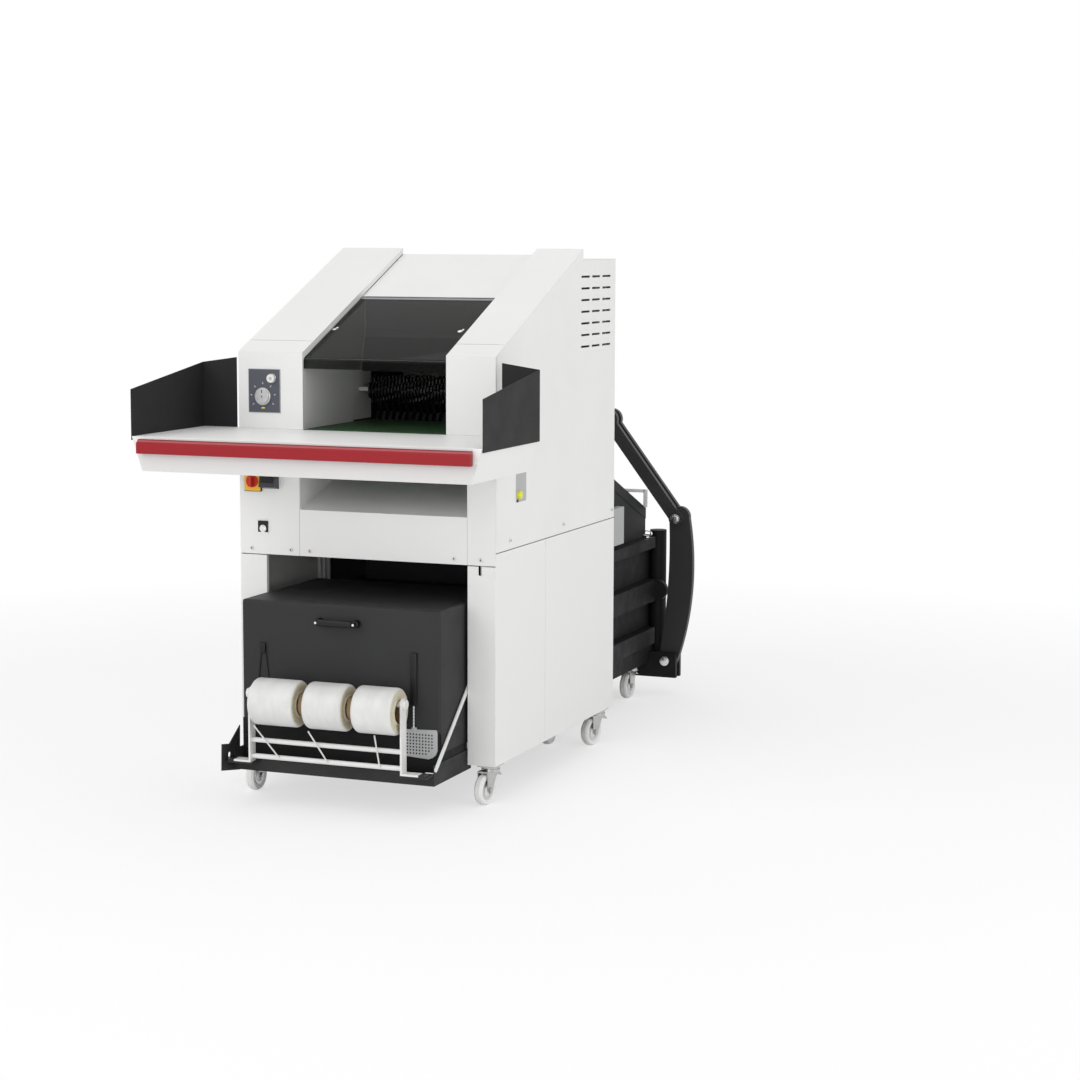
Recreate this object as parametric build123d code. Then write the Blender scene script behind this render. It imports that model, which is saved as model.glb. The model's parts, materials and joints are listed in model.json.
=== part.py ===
"""Recycling baler: an industrial shredder tower that stands over a horizontal channel baler.

Millimetres. X runs across the machine to the operator's right, Y from the front to the back, Z up.
Pieces are modelled from the tower's own datum (tower centre line, front plane, floor) and are moved
to the centre of the machine's plan when they are written.
"""
from build123d import *
from math import atan2, cos, degrees, hypot, pi, radians, sin, sqrt, tan
import os

os.makedirs("parts", exist_ok=True)

# Sheet metal and clearances
skin = 2.0  # casing sheet
rim = 15.0  # inward flange round a casing panel
shut = 1.5  # half of the shut line between two panels
seat = 0.3  # between pieces that are bolted or rest on each other
fit = 0.05  # radial clearance of a running shaft
over = 1.0  # how far a cutting shape runs past the face that it cuts

# Casters
wheel_r = 50.0
wheel_w = 30.0
caster_h = 125.0  # floor to the top of the mounting plate
caster_trail = 35.0
caster_plate_x = 62.0
caster_plate_y = 76.0
caster_plate_t = 4.0
raceway_r = 28.0
raceway_h = 7.7
fork_top_t = 8.0
fork_leg_t = 3.0
fork_end = 16.0  # fork roof past the kingpin and past the axle
fork_gap = 2.0  # between wheel and fork leg
kingpin_r = 8.0
kingpin_head_r = 13.0
kingpin_head_t = 5.7
axle_r = 6.0
nut_r = 9.0
nut_t = 5.0
hub_r = 14.0
web_drop = 5.0  # depth of the recess in the wheel's side
web_r0 = 18.0
web_r1 = 34.0
tread_r0 = 38.0
tread_round = 4.0
tread_shoulder = 8.0

# Tower casing: the table's height carries everything above it
tower_w = 900.0
tower_d = 1114.0
table_top_z = 1176.0
front_face_h = 248.0  # table top to the bend of the front face
slope_rise = 331.0  # bend to ridge
ridge_drop = 35.0  # ridge to rear top
ridge_y = 783.0
seam_z = 806.0  # between the lower and the upper side panels
fascia_step = 41.0  # front covers reach this far below the seam
cover_seam_y = 80.0  # front covers reach this far up the slope
intake_left_x = -219.5
intake_right_x = 282.0
middle_drop = 20.0  # the middle cover and the visor lie this far below the pillar covers
column_w = 95.0
column_return = 14.0
middle_cover_y = 452.0  # lower edge of the middle cover
fold_y = 435.0  # stiffening crease in the lower side panels
crease_w = 4.0
crease_depth = 1.0
slot_w = 11.0
slot_h = 30.0
slot_drop = 15.0
slot_shift = 5.0
vent_rows = 7
vent_pitch = 39.5
vent_drop = 59.0  # rear top to the highest row
vent_h = 7.0
vent_spans = ((766.0, 849.0), (872.0, 951.0), (976.0, 1060.0))
half_w = tower_w / 2
fascia_z = seam_z - fascia_step
front_bend_z = table_top_z + front_face_h
ridge_z = front_bend_z + slope_rise
rear_top_z = ridge_z - ridge_drop
slope = slope_rise / ridge_y
slope_stretch = sqrt(1 + slope ** 2)

# Feed table
table_half_w = 588.7
table_front_y = -441.0
table_rear_y = 17.0
table_depth = 107.0
table_taper = 36.0
table_wall = 2.5
table_slack = 3.0  # beside the tower's sides
table_back_rim = 20.0
wing_t = 2.0
wing_front_h = 146.0
wing_corner_h = 210.0
wing_inner_h = 228.0
wing_inner_gap = 15.0  # from the tower's side
wing_lap = 12.0  # the wing reaches this far below the table top outside its edge
table_bottom_z = table_top_z - table_depth
wing_front_z = table_top_z + wing_front_h
wing_corner_z = table_top_z + wing_corner_h
wing_inner_z = table_top_z + wing_inner_h
wing_inner_x = half_w + wing_inner_gap

# Safety bar
bar_inset = 28.7  # from the table's edge
bar_gap = 6.0  # in front of the table
bar_t = 19.0
bar_h = 44.0
bar_drop = 7.0
bar_bevel_h = 12.0
bar_bevel_y = 6.0
bar_travel = 5.0
bar_pin_r = 5.0
bar_pin_x = 400.0
bar_pin_l = 18.0
bar_half_w = table_half_w - bar_inset
bar_back_y = table_front_y - bar_gap
bar_front_y = bar_back_y - bar_t
bar_top_z = table_top_z - bar_drop
bar_edge_z = bar_top_z - bar_bevel_h
bar_bottom_z = bar_top_z - bar_h
bar_pin_z = (bar_bottom_z + bar_edge_z) / 2

# Controls
plate_w = 115.0
plate_h = 142.0
plate_side_gap = 36.0
plate_drop = 55.0
plate_t = 1.5
knob_across = 53.0
knob_up = 53.0
knob_r = 25.0
knob_h = 20.0
knob_bevel = 3.0
pointer_w = 5.0
pointer_gap = 4.0
button_across = 85.0
button_up = 112.0
button_r = 13.5
button_travel = 4.0
button_h = 7.0
spindle_r = 4.0
switch_side_gap = 51.0
switch_drop = 64.0
switch_w = 60.0
switch_above = 38.0
switch_below = 34.0
switch_t = 9.0
switch_knob_r = 21.0
switch_knob_t = 6.0
switch_knob_h = 24.0
switch_grip_w = 12.0
switch_grip_l = 34.0
inlet_pitch = 62.5
inlet_w = 57.0
inlet_h = 66.0
inlet_low = 24.0
inlet_lip = 8.0
inlet_depth = 34.0
inlet_slant = 14.0
lock_side_gap = 84.0
lock_up = 44.0
lock_w = 36.0
lock_t = 3.0
lock_r = 12.0
key_w = 3.0
key_l = 18.0
cam_w = 12.0
cam_l = 26.0
plate_x0 = -half_w + plate_side_gap
plate_x1 = plate_x0 + plate_w
plate_z1 = front_bend_z - plate_drop
plate_z0 = plate_z1 - plate_h
knob_x = plate_x0 + knob_across
knob_z = plate_z0 + knob_up
button_x = plate_x0 + button_across
button_z = plate_z0 + button_up
switch_x = -half_w + switch_side_gap
switch_z = table_bottom_z - switch_drop
inlet_x = switch_x + inlet_pitch
lock_x = -half_w + lock_side_gap
lock_z = seam_z + lock_up

# Intake, conveyor and feed roller
belt_side_gap = 13.0
belt_rise = 4.0  # above the table
belt_t = 4.0
nose_r = 10.0
nose_y = 20.0
drum_r = 30.0
drum_y = 470.0
journal_r = 10.0
journal_end = 4.0
roller_r = 48.0
roller_core_r = 32.0
roller_y = 430.0
roller_up = 104.0
roller_ribs = 12
roller_rib_share = 0.44
unit_plate_t = 8.0
cheek_t = 2.0
cheek_y = 376.0
belt_x0 = intake_left_x + belt_side_gap
belt_x1 = intake_right_x - belt_side_gap
belt_top_z = table_top_z + belt_rise
roller_z = belt_top_z + roller_up

# Cutting unit
cutter_y = 590.0
cutter_up = 20.0  # middle of both shafts above the belt
cutter_distance = 120.0
disc_r = 70.0
disc_count = 20
disc_teeth = 6
tooth_share = 0.72
tooth_depth = 0.12
disc_gap = 0.5
hex_flat = 58.0
cutter_journal_r = 25.0
gear_module = 5.0
gear_teeth = 24
pinion_teeth = 16
pressure_angle = radians(20)
gear_w = 24.0
gear_gap = 7.0
backlash = 0.8
motor_r = 65.0
motor_l = 168.0
motor_fins = 18
fin_h = 6.0
fin_t = 3.0
fin_l = 112.0
motor_plate_t = 6.0
motor_plate_front = 76.0
motor_plate_back = 90.0
motor_plate_down = 70.0
motor_plate_up = 80.0
motor_shaft_r = 12.0
motor_shaft_l = 40.0
pillar_r = 8.0
cutter_mid_z = belt_top_z + cutter_up

# Chute between the cutting unit and the press channel
chute_t = 3.0
chute_top_y0 = 480.0
chute_top_y1 = 730.0

# Tower frame
post = 40.0
post_inset = skin + rim + seat
bearer_drop = 150.0  # belt to the top of the two bearers under the feed unit
bearer_front_y = 430.0
bearer_rear_y = 772.0
front_post_drop = 44.0
rear_post_drop = 30.0
front_rail_up = 44.0  # cross rail behind the fascia, above the seam
outrigger_t = 6.0
bearer_z = belt_top_z - bearer_drop
front_post_z = front_bend_z - front_post_drop
rear_post_z = rear_top_z - rear_post_drop
front_rail_z = seam_z + front_rail_up

# Press channel
channel_half_w = 250.0  # inside
channel_front_y = -170.0
channel_rear_y = 2110.0
channel_floor_z = 205.0
channel_h = 405.0  # inside
wall_t = 6.0
roof_t = 14.0
front_plate_t = 20.0
beam_depth = 41.0
low_beam_h = 65.0
mid_beam_h = 84.0
mid_beam_up = 3.5
high_beam_h = 42.0
beam_nose = 4.5  # the middle beam's round nose reaches this far past the others
opening_y0 = 520.0
opening_y1 = 1000.0
opening_half_w = 240.0
rail_x0 = 198.0
rail_x1 = 278.0
post_r = 33.0
outlet_post_y = 2105.0
outlet_post_down = 49.0
outlet_post_up = 21.0
channel_roof_z = channel_floor_z + channel_h
roof_top_z = channel_roof_z + roof_t
floor_under = channel_floor_z - wall_t
press_z = (channel_floor_z + channel_roof_z) / 2
mid_beam_z = press_z + mid_beam_up
beam_spans = (
    (floor_under, floor_under + low_beam_h),
    (mid_beam_z - mid_beam_h / 2, mid_beam_z + mid_beam_h / 2),
    (roof_top_z - high_beam_h, roof_top_z),
)
roof_x = channel_half_w + wall_t
beam_x = roof_x + beam_depth

# Press ram and cylinders
ram_side_gap = 3.0
ram_face_y = 520.0
ram_l = 520.0
ram_wall = 10.0
ram_face_t = 20.0
ram_stroke = 500.0
groove_pitch = 97.0
groove_h = 16.0
groove_depth = 10.0
rod_r = 30.0
rod_tail = 45.0
barrel_r = 55.0
barrel_l = 630.0
gland_r = 67.0
gland_l = 30.0
gland_y = 10.0
flange_r = 75.0
flange_l = 25.0

# Hood, skirt and shelf at the front of the press
hood_half_w = 345.0
hood_front_y = -192.0
hood_rear_y = 330.0
hood_rise = 22.0  # above the channel's roof
hood_front_z = 263.0
hood_lap = 2.0  # below the channel's floor plate
hood_t = 2.0
skirt_t = 5.0
skirt_z = 135.0
skirt_shelf_t = 8.0
handle_drop = 43.0
handle_span = 118.0
handle_r = 8.0
handle_reach = 32.0
handle_bend = 18.0
pad_r = 14.0
pad_t = 5.0
shelf_front_y = -250.0
shelf_z = 112.0
shelf_t = 6.0
cheek_h = 65.0
shelf_cheek_t = 3.0
cheek_rear_right_y = 43.0
cheek_rear_left_y = -110.0
stay_t = 4.0
stay_w = 16.0
hood_top_z = roof_top_z + hood_rise
hood_side_z = floor_under - hood_lap
handle_z = hood_top_z - handle_drop

# Twine rolls and their holder
holder_half_w = 262.0
holder_y = -290.0
holder_t = 6.0
holder_w = 36.0
holder_z0 = 145.0
holder_z1 = 385.0
axle_drop = 20.0
collar_r = 15.0
collar_x = 12.0
roll_axle_r = 10.0
roll_r = 74.0
roll_l = 160.0
roll_bevel = 4.0
roll_pitch = 168.0
core_r = 37.0
core_t = 3.0
core_lap = 2.0
upper_bar_z = 216.0
lower_bar_z = 164.0
holder_bar_r = 8.0
strand_r = 2.5
axle_z = holder_z1 - axle_drop

# Bale clamp at the channel's outlet
lever_y = 2040.0  # front face of the lever plates
lever_t = 25.0
bracket_t = 21.7
bracket_x = 392.0
bracket_z0 = 68.0
bracket_z1 = 166.0
pivot_x = 349.0
pivot_z = 135.0
lever_top_x = 386.0
lever_top_z = 702.0
lever_outer = 49.0  # half widths of the lever at its upper pin
lever_inner = 33.0
lever_crown = 46.0
lever_foot = 40.0
lever_heel = 34.0
lever_toe = 38.0
lever_lean = 8.0
lever_belly_x = 450.0
lever_belly_z = 450.0
lever_waist_x = 348.5
lever_waist_z = 400.0
crosshead_x = 99.0
crosshead_z = 1082.0
crosshead_half_h = 34.0
crosshead_end = 30.0
crosshead_mid_x = 40.0
crosshead_mid_h = 52.0
arm_w = 48.0
arm_head_r = 42.0
arm_eye_r = 29.0
clamp_pin_r = 14.0
pin_head_t = 8.0
arm_pin_head_r = 20.0
lever_pin_head_r = 19.0
open_pivot_gap = 2.0
clamp_stroke = 40.0
clamp_barrel_r = 39.0
clamp_barrel_top = 960.0
clamp_rod_r = 24.0
clamp_rod_low = 700.0
clamp_collar_r = 34.0
clamp_collar_l = 25.0
clamp_collar_drop = 75.0
pivot_bolt_r = 12.0
pivot_head_r = 19.0
pivot_head_t = 10.0
beam_end_y = lever_y
clamp_y = lever_y + lever_t / 2

# Housing behind the tower with its bow, its junction box and the lifting eyes
housing_half_w = 264.0
housing_rear_gap = 29.0  # in front of the levers
housing_rise = 116.0  # rear edge above the channel's roof
housing_pitch = 0.3895
housing_t = 3.0
band_h = 42.0
band_t = 2.0
bow_r = 8.0
bow_inset = 26.0
bow_side_inset = 12.0
bow_rise = 68.0
bow_bend = 26.0
box_w = 40.0
box_l = 140.0
box_h = 140.0
box_gap = 371.0
box_up = 21.0
eye_r = 4.0
eye_gap = 28.0
eye_span = 62.0
eye_h = 42.0
eye_bend = 14.0
housing_front_y = tower_d + skin + seat
housing_rear_y = lever_y - housing_rear_gap
housing_rear_z = roof_top_z + housing_rise


def block(x0, x1, y0, y1, z0, z1):
    """Box between two corners."""
    return Pos((x0 + x1) / 2, (y0 + y1) / 2, (z0 + z1) / 2) * Box(x1 - x0, y1 - y0, z1 - z0)


def face_yz(points, x0, x1):
    """Outline of (y, z) points, from x0 to x1."""
    return extrude(Plane.YZ.offset(x0) * make_face(Polyline(*points, close=True)), x1 - x0)


def face_xz(points, y0, y1):
    """Outline of (x, z) points, from y0 to y1."""
    return extrude(Plane.XZ.offset(-y0) * make_face(Polyline(*points, close=True)), y0 - y1)


def face_xy(points, z0, z1):
    """Outline of (x, y) points, from z0 to z1."""
    return extrude(Plane.XY.offset(z0) * make_face(Polyline(*points, close=True)), z1 - z0)


def bar_x(x0, x1, y, z, r):
    """Round bar along X."""
    return Pos((x0 + x1) / 2, y, z) * Rot(0, 90, 0) * Cylinder(r, x1 - x0)


def bar_y(x, y0, y1, z, r):
    """Round bar along Y."""
    return Pos(x, (y0 + y1) / 2, z) * Rot(90, 0, 0) * Cylinder(r, y1 - y0)


def bar_z(x, y, z0, z1, r):
    """Round bar along Z."""
    return Pos(x, y, (z0 + z1) / 2) * Cylinder(r, z1 - z0)


def hexagon_y(x, y0, y1, z, r):
    """Hexagonal nut or bolt head along Y, r across its corners."""
    return Plane.XZ.offset(-y0) * Pos(x, z) * extrude(RegularPolygon(r, 6), y0 - y1)


def ribbon(path, t):
    """Closed outline of a sheet of thickness t that follows path on its left side."""
    inner = []
    for i, (a, b) in enumerate(path):
        normals = []
        for j in (i - 1, i):
            if 0 <= j < len(path) - 1:
                du = path[j + 1][0] - path[j][0]
                dv = path[j + 1][1] - path[j][1]
                length = hypot(du, dv)
                normals.append((-dv / length, du / length))
        nu = sum(n[0] for n in normals) / len(normals)
        nv = sum(n[1] for n in normals) / len(normals)
        stretch = nu * nu + nv * nv
        inner.append((a + t * nu / stretch, b + t * nv / stretch))
    return list(path) + inner[::-1]


def mirrored(piece):
    """The same piece on the machine's left side."""
    return mirror(piece, Plane.YZ)


def slope_z(y, drop=0.0):
    """Height of the sloping front at depth y, lowered by drop."""
    return front_bend_z + slope * y - drop


pieces = {}

# Caster: mounting plates, forks and wheels
caster_inset = 32.0
front_left_inset = 88.0
front_left_y = -40.0
caster_y_front = 39.0
caster_rear_inset = 82.0
baler_caster_x = 238.0
baler_caster_gap = 115.0
front_x = half_w - caster_inset
caster_y_rear = tower_d - caster_rear_inset
baler_caster_y = lever_y - baler_caster_gap
casters = {
    "front_left": (front_left_inset - half_w, front_left_y, -90.0),
    "front_right": (front_x, caster_y_front, -98.0),
    "rear_left": (-front_x, caster_y_rear, -80.0),
    "rear_right": (front_x, caster_y_rear, -103.0),
    "baler_left": (-baler_caster_x, baler_caster_y, -87.0),
    "baler_right": (baler_caster_x, baler_caster_y, -93.0),
}
plate_z = caster_h - caster_plate_t
raceway_z = plate_z - raceway_h
fork_top_z = raceway_z - seat
fork_under_z = fork_top_z - fork_top_t
fork_roof_z = fork_top_z - fork_top_t / 2
leg_in = wheel_w / 2 + fork_gap
leg_out = leg_in + fork_leg_t
fork_foot = 14.0
tab_reach = 30.0
tab_drop = 21.0
tab_t = 5.0


def caster_plate():
    """Bolted plate with the ball race and the kingpin that holds the fork."""
    half_x = caster_plate_x / 2
    half_y = caster_plate_y / 2
    plate = block(-half_x, half_x, -half_y, half_y, plate_z, caster_h)
    race = bar_z(0, 0, raceway_z, plate_z, raceway_r)
    pin = bar_z(0, 0, fork_under_z - seat - kingpin_head_t, raceway_z, kingpin_r)
    head = bar_z(0, 0, fork_under_z - seat - kingpin_head_t, fork_under_z - seat, kingpin_head_r)
    return plate + race + pin + head


def caster_fork():
    """Pressed fork with its axle bolt and brake tab, trailing along +X before it is turned."""
    end = caster_trail + fork_end
    crown = bar_z(0, 0, fork_under_z, fork_top_z, raceway_r + 2 * over)
    roof = block(-fork_end, end, -leg_out, leg_out, fork_under_z, fork_roof_z)
    outline = (
        (-fork_end, fork_roof_z), (end, fork_roof_z), (caster_trail + fork_foot, wheel_r),
        (caster_trail, wheel_r - fork_foot), (caster_trail - fork_foot, wheel_r))
    legs = face_xz(outline, -leg_out, -leg_in) + face_xz(outline, leg_in, leg_out)
    axle = bar_y(caster_trail, -leg_out - nut_t, leg_out + nut_t, wheel_r, axle_r)
    nuts = hexagon_y(caster_trail, -leg_out - nut_t, -leg_out, wheel_r, nut_r)
    nuts += hexagon_y(caster_trail, leg_out, leg_out + nut_t, wheel_r, nut_r)
    tip_x = -fork_end - tab_reach
    tip_z = fork_roof_z - tab_drop
    tab_x = wheel_w / 2 - over
    tab = face_xz(
        (
            (-fork_end, fork_roof_z), (-fork_end, fork_roof_z - fork_top_t), (tip_x, tip_z - tab_t),
            (tip_x, tip_z)),
        -tab_x, tab_x)
    bore = bar_z(0, 0, fork_under_z - over, fork_top_z + over, kingpin_r + fit)
    return crown + roof + legs + axle + nuts + tab - bore


def caster_wheel():
    """Wheel with a rounded tread, a recessed web and a hub, on the fork's axle."""
    half = wheel_w / 2
    side = (
        (axle_r + fit, half), (hub_r, half), (web_r0, half - web_drop), (web_r1, half - web_drop),
        (tread_r0, half - over), (wheel_r - tread_round, half - over), (wheel_r, half - tread_shoulder))
    profile = [(r, -h) for r, h in side] + list(side[::-1])
    turned = revolve(make_face(Polyline(*profile, close=True)), Axis.Y)
    return Pos(caster_trail, 0, wheel_r) * turned


plates = []
for name, (x, y, heading) in casters.items():
    plates.append(Pos(x, y, 0) * caster_plate())
    pieces["caster_fork_" + name] = Pos(x, y, 0) * Rot(0, 0, heading) * caster_fork()
    pieces["caster_wheel_" + name] = Pos(x, y, 0) * Rot(0, 0, heading) * caster_wheel()
pieces["caster_plates"] = plates

# Middle wheelset under the press channel
wheelset_y = 955.0
wheelset_x = 262.0
wheelset_axle_r = 10.0
lug_t = 8.0
lug_half_l = 20.0
lug_gap = 3.0
lug_x = wheelset_x - wheel_w / 2 - lug_gap - lug_t
lug_z = wheel_r - 2 * lug_t


def wheelset():
    """Two wheels on one through axle."""
    half = wheel_w / 2
    core = wheelset_axle_r - over
    side = ((core, half), (wheel_r - tread_round, half), (wheel_r, half - tread_shoulder))
    profile = [(r, -h) for r, h in side] + list(side[::-1])
    wheel = revolve(make_face(Polyline(*profile, close=True)), Axis.Y)
    right = Pos(wheelset_x, wheelset_y, wheel_r) * Rot(0, 0, 90) * wheel
    axle = bar_x(-wheelset_x - half, wheelset_x + half, wheelset_y, wheel_r, wheelset_axle_r)
    return axle + right + mirrored(right)


pieces["middle_wheelset"] = wheelset()

# Tower frame
foot_z0 = shelf_z - shelf_t + cheek_h + 3.0
foot_z1 = hood_side_z - 2.0
post_x0 = half_w - post_inset - post
post_x1 = half_w - post_inset
front_y0 = post_inset
rear_y0 = tower_d - post_inset - post
rail_z = seam_z - post / 2


def side_frame():
    """Welded right side frame: two posts, three rails and the feet that meet the press channel."""
    side = block(post_x0, post_x1, front_y0, front_y0 + post, caster_h, front_post_z)
    side += block(post_x0, post_x1, rear_y0, rear_y0 + post, caster_h, rear_post_z)
    for z in (caster_h, rail_z, front_post_z - post):
        side += block(post_x0, post_x1, front_y0 + post, rear_y0, z, z + post)
    side += block(hood_half_w, post_x0, front_y0, front_y0 + post, foot_z0, foot_z1)
    low, high = beam_spans[0]
    return side + block(beam_x, post_x0, rear_y0, rear_y0 + post, low, high)


def cross_members():
    """Rails and two bearers on short legs, bolted between the side frames."""
    reach = post_x0 - seat
    members = [block(-reach, reach, front_y0, front_y0 + post, front_rail_z, front_rail_z + post)]
    for z in (rail_z, rear_post_z - post):
        members.append(block(-reach, reach, rear_y0, rear_y0 + post, z, z + post))
    for y0 in (bearer_front_y, bearer_rear_y):
        bearer = block(-post_x1, post_x1, y0, y0 + post, bearer_z - post, bearer_z)
        for x in (-post_x1, post_x0):
            bearer += block(x, x + post, y0, y0 + post, rail_z + post + seat, bearer_z)
        members.append(bearer)
    return members


left_x, left_y, left_heading = casters["front_left"]
left_plate_x1 = left_x + caster_plate_x / 2
left_plate_y0 = left_y - caster_plate_y / 2
outrigger = block(-post_x1, left_plate_x1, left_plate_y0, front_y0 + post, caster_h, caster_h + outrigger_t)
pieces["tower_frame"] = [side_frame(), mirrored(side_frame()) + outrigger] + cross_members()

# Casing panels
side_top_drop = (skin + seat) * slope_stretch


def tray(points, x_out):
    """Flat sheet outside x_out - skin with an inward flange all round."""
    outer = make_face(Polyline(*points, close=True))
    inner = offset(outer, -skin)
    sheet = extrude(Plane.YZ.offset(x_out - skin) * outer, skin)
    flange = extrude(Plane.YZ.offset(x_out - skin - rim) * (outer - inner), rim)
    return sheet + flange


def upper_panel():
    """Side panel from the seam to the sloping top."""
    front = skin + shut
    top_y = ridge_y - skin - seat
    top_z = rear_top_z - skin - seat
    points = (
        (front, seam_z + shut), (tower_d - front, seam_z + shut), (tower_d - front, top_z),
        (top_y, top_z), (top_y, slope_z(top_y, side_top_drop)), (front, slope_z(front, side_top_drop)))
    return tray(points, half_w)


def vents():
    """Rows of slots near the top of the side panel."""
    slots = []
    for row in range(vent_rows):
        z = rear_top_z - vent_drop - row * vent_pitch
        for y0, y1 in vent_spans:
            slots.append(block(half_w - 2 * skin, half_w + over, y0, y1, z - vent_h / 2, z + vent_h / 2))
    return slots


rear_x = half_w - rim - shut
rear = block(-rear_x, rear_x, tower_d - skin, tower_d, seam_z + shut, rear_top_z - skin - seat)
pieces["upper_panels"] = [upper_panel() - vents(), mirrored(upper_panel()), rear]


def lower_panel():
    """Side panel that folds round the front corner into the column beside the press."""
    column_x = half_w - column_w
    back = tower_d - shut
    path = ((column_x, column_return), (column_x, 0), (half_w, 0), (half_w, back), (half_w - rim, back))
    sheet = face_xy(ribbon(path, skin), caster_h, seam_z - shut)
    low = fascia_z - shut
    sheet -= block(column_x - over, half_w + over, -over, skin + shut, low, seam_z)
    sheet -= block(column_x - over, half_w - skin - rim, -over, column_return + over, low, seam_z)
    crease = half_w - crease_depth
    sheet -= block(crease, half_w + over, fold_y - crease_w / 2, fold_y + crease_w / 2, caster_h, seam_z)
    slot_x = half_w - column_w / 2 - slot_shift
    slot_z = fascia_z - slot_drop
    return sheet - block(
        slot_x - slot_w / 2, slot_x + slot_w / 2, -over, skin + over, slot_z - slot_h / 2,
        slot_z + slot_h / 2)


notch = block(
    -post_x1 - seat, left_plate_x1 + seat, -over, column_return + over, caster_h - over,
    caster_h + outrigger_t + seat)
pieces["lower_side_panels"] = [lower_panel(), mirrored(lower_panel()) - notch]


def slope_cover(x0, x1, inner_x):
    """Cover of one pillar: up the slope, over the ridge and down to the rear top, flanged at the intake."""
    start = cover_seam_y + shut
    end = ridge_y - skin
    path = ((start, slope_z(start)), (ridge_y, ridge_z), (ridge_y, rear_top_z + seat))
    sheet = face_yz(ribbon(path, -skin), x0, x1)
    low = middle_drop - shut
    lip = (
        (start, slope_z(start, skin)), (end, slope_z(end, skin)), (end, slope_z(end, low)),
        (start, slope_z(start, low)))
    step = skin if inner_x == x0 else -skin
    span = sorted((inner_x, inner_x + step))
    return sheet + face_yz(lip, span[0], span[1])


pieces["slope_covers"] = [
    slope_cover(-half_w, intake_left_x, intake_left_x),
    slope_cover(intake_right_x, half_w, intake_right_x)]


def front_cover(x0, x1):
    """Front of one pillar above the table, with the first bend of the slope."""
    end = cover_seam_y - shut
    path = ((0, table_top_z + seat), (0, front_bend_z), (end, slope_z(end)))
    return face_yz(ribbon(path, -skin), x0, x1)


knob_hole = bar_y(knob_x, -plate_t - over, skin + over, knob_z, spindle_r + fit)
button_hole = bar_y(button_x, -plate_t - over, skin + over, button_z, spindle_r + fit)
pieces["front_covers"] = [
    front_cover(-half_w, intake_left_x) - knob_hole - button_hole,
    front_cover(intake_right_x, half_w)]


def middle_cover():
    """Sheet between the pillar covers, over the ridge, and across the full width behind it."""
    low = middle_drop
    back = ridge_y - skin - seat
    path = (
        (middle_cover_y, slope_z(middle_cover_y, low)), (back, slope_z(back, low)), (back, rear_top_z),
        (ridge_y + skin, rear_top_z))
    front = face_yz(ribbon(path, -skin), intake_left_x + shut, intake_right_x - shut)
    return front + block(-half_w, half_w, back, tower_d, rear_top_z - skin, rear_top_z)


pieces["middle_cover"] = middle_cover()

# Covers between the seam and the table
cover_split = 16.0  # the left one ends this far outside the intake
fascia_front_h = 152.0
fascia_rim_gap = 5.0
fascia_lip = 24.0
fascia_slope_y = 400.0
fascia_top_z = fascia_z + fascia_front_h
fascia_rim_z = table_bottom_z - fascia_rim_gap
fascia_slope_z = fascia_rim_z - fascia_lip
left_cover_x1 = intake_left_x - cover_split
right_cover_x0 = half_w - column_w


def lower_cover(x0, x1, flange_x):
    """Small front cover between the fascia height and the table, with a flange from flange_x."""
    z0 = fascia_z + shut
    z1 = table_bottom_z - seat
    return block(x0, x1, 0, skin, z0, z1) + block(flange_x, flange_x + skin, skin, rim, z0, z1)


def middle_fascia():
    """Front sheet that slopes back into a recess between two side walls."""
    low = fascia_z + shut
    path = ((0, low), (0, fascia_top_z), (fascia_slope_y, fascia_slope_z))
    fascia = face_yz(ribbon(path, -skin), left_cover_x1 + shut, right_cover_x0 - shut)
    wall = (
        (skin, low), (skin, fascia_rim_z), (fascia_slope_y, fascia_rim_z),
        (fascia_slope_y, fascia_slope_z - skin),
        (rim, fascia_top_z), (rim, low))
    for x0 in (left_cover_x1 + seat, right_cover_x0 - seat - skin):
        fascia += face_yz(wall, x0, x0 + skin)
    return fascia


switch_hole = bar_y(switch_x, -over, skin + over, switch_z, spindle_r + 2 * over)
lock_hole = bar_y(lock_x, -lock_t - over, rim, lock_z, lock_r + fit)
lock_half = lock_w / 2
escutcheon = block(lock_x - lock_half, lock_x + lock_half, -lock_t, 0, lock_z - lock_half, lock_z + lock_half)
pieces["lower_front_covers"] = [
    lower_cover(-half_w, left_cover_x1, left_cover_x1 - skin) + escutcheon - switch_hole - lock_hole,
    lower_cover(right_cover_x0, half_w, right_cover_x0)]
pieces["middle_fascia"] = middle_fascia()

# Feed table, wings and safety bar


def feed_table():
    """White pressed tub, open at the back, tapered at its sides."""
    low = table_half_w - table_taper
    t = table_wall
    top_in = table_half_w - 1.5 * t
    outer = (
        (-table_half_w, table_top_z), (table_half_w, table_top_z), (low, table_bottom_z),
        (-low, table_bottom_z))
    inner = (
        (-top_in, table_top_z - t), (top_in, table_top_z - t), (low - t, table_bottom_z + t),
        (t - low, table_bottom_z + t))
    tub = face_xz(outer, table_front_y, table_rear_y) - face_xz(inner, table_front_y + t, table_rear_y - t)
    side = half_w + table_slack
    tub -= block(-side, side, -seat, table_rear_y + over, table_bottom_z - over, table_top_z + over)
    hole = half_w - table_back_rim
    low_z = table_bottom_z + table_back_rim
    tub -= block(-hole, hole, -t - over, 0, low_z, table_top_z - table_back_rim)
    for x in (-bar_pin_x, 0.0, bar_pin_x):
        tub -= bar_y(x, table_front_y - over, table_front_y + t + over, bar_pin_z, bar_pin_r + fit)
    return tub


pieces["feed_table"] = feed_table()
wing_x = table_half_w + seat


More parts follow.
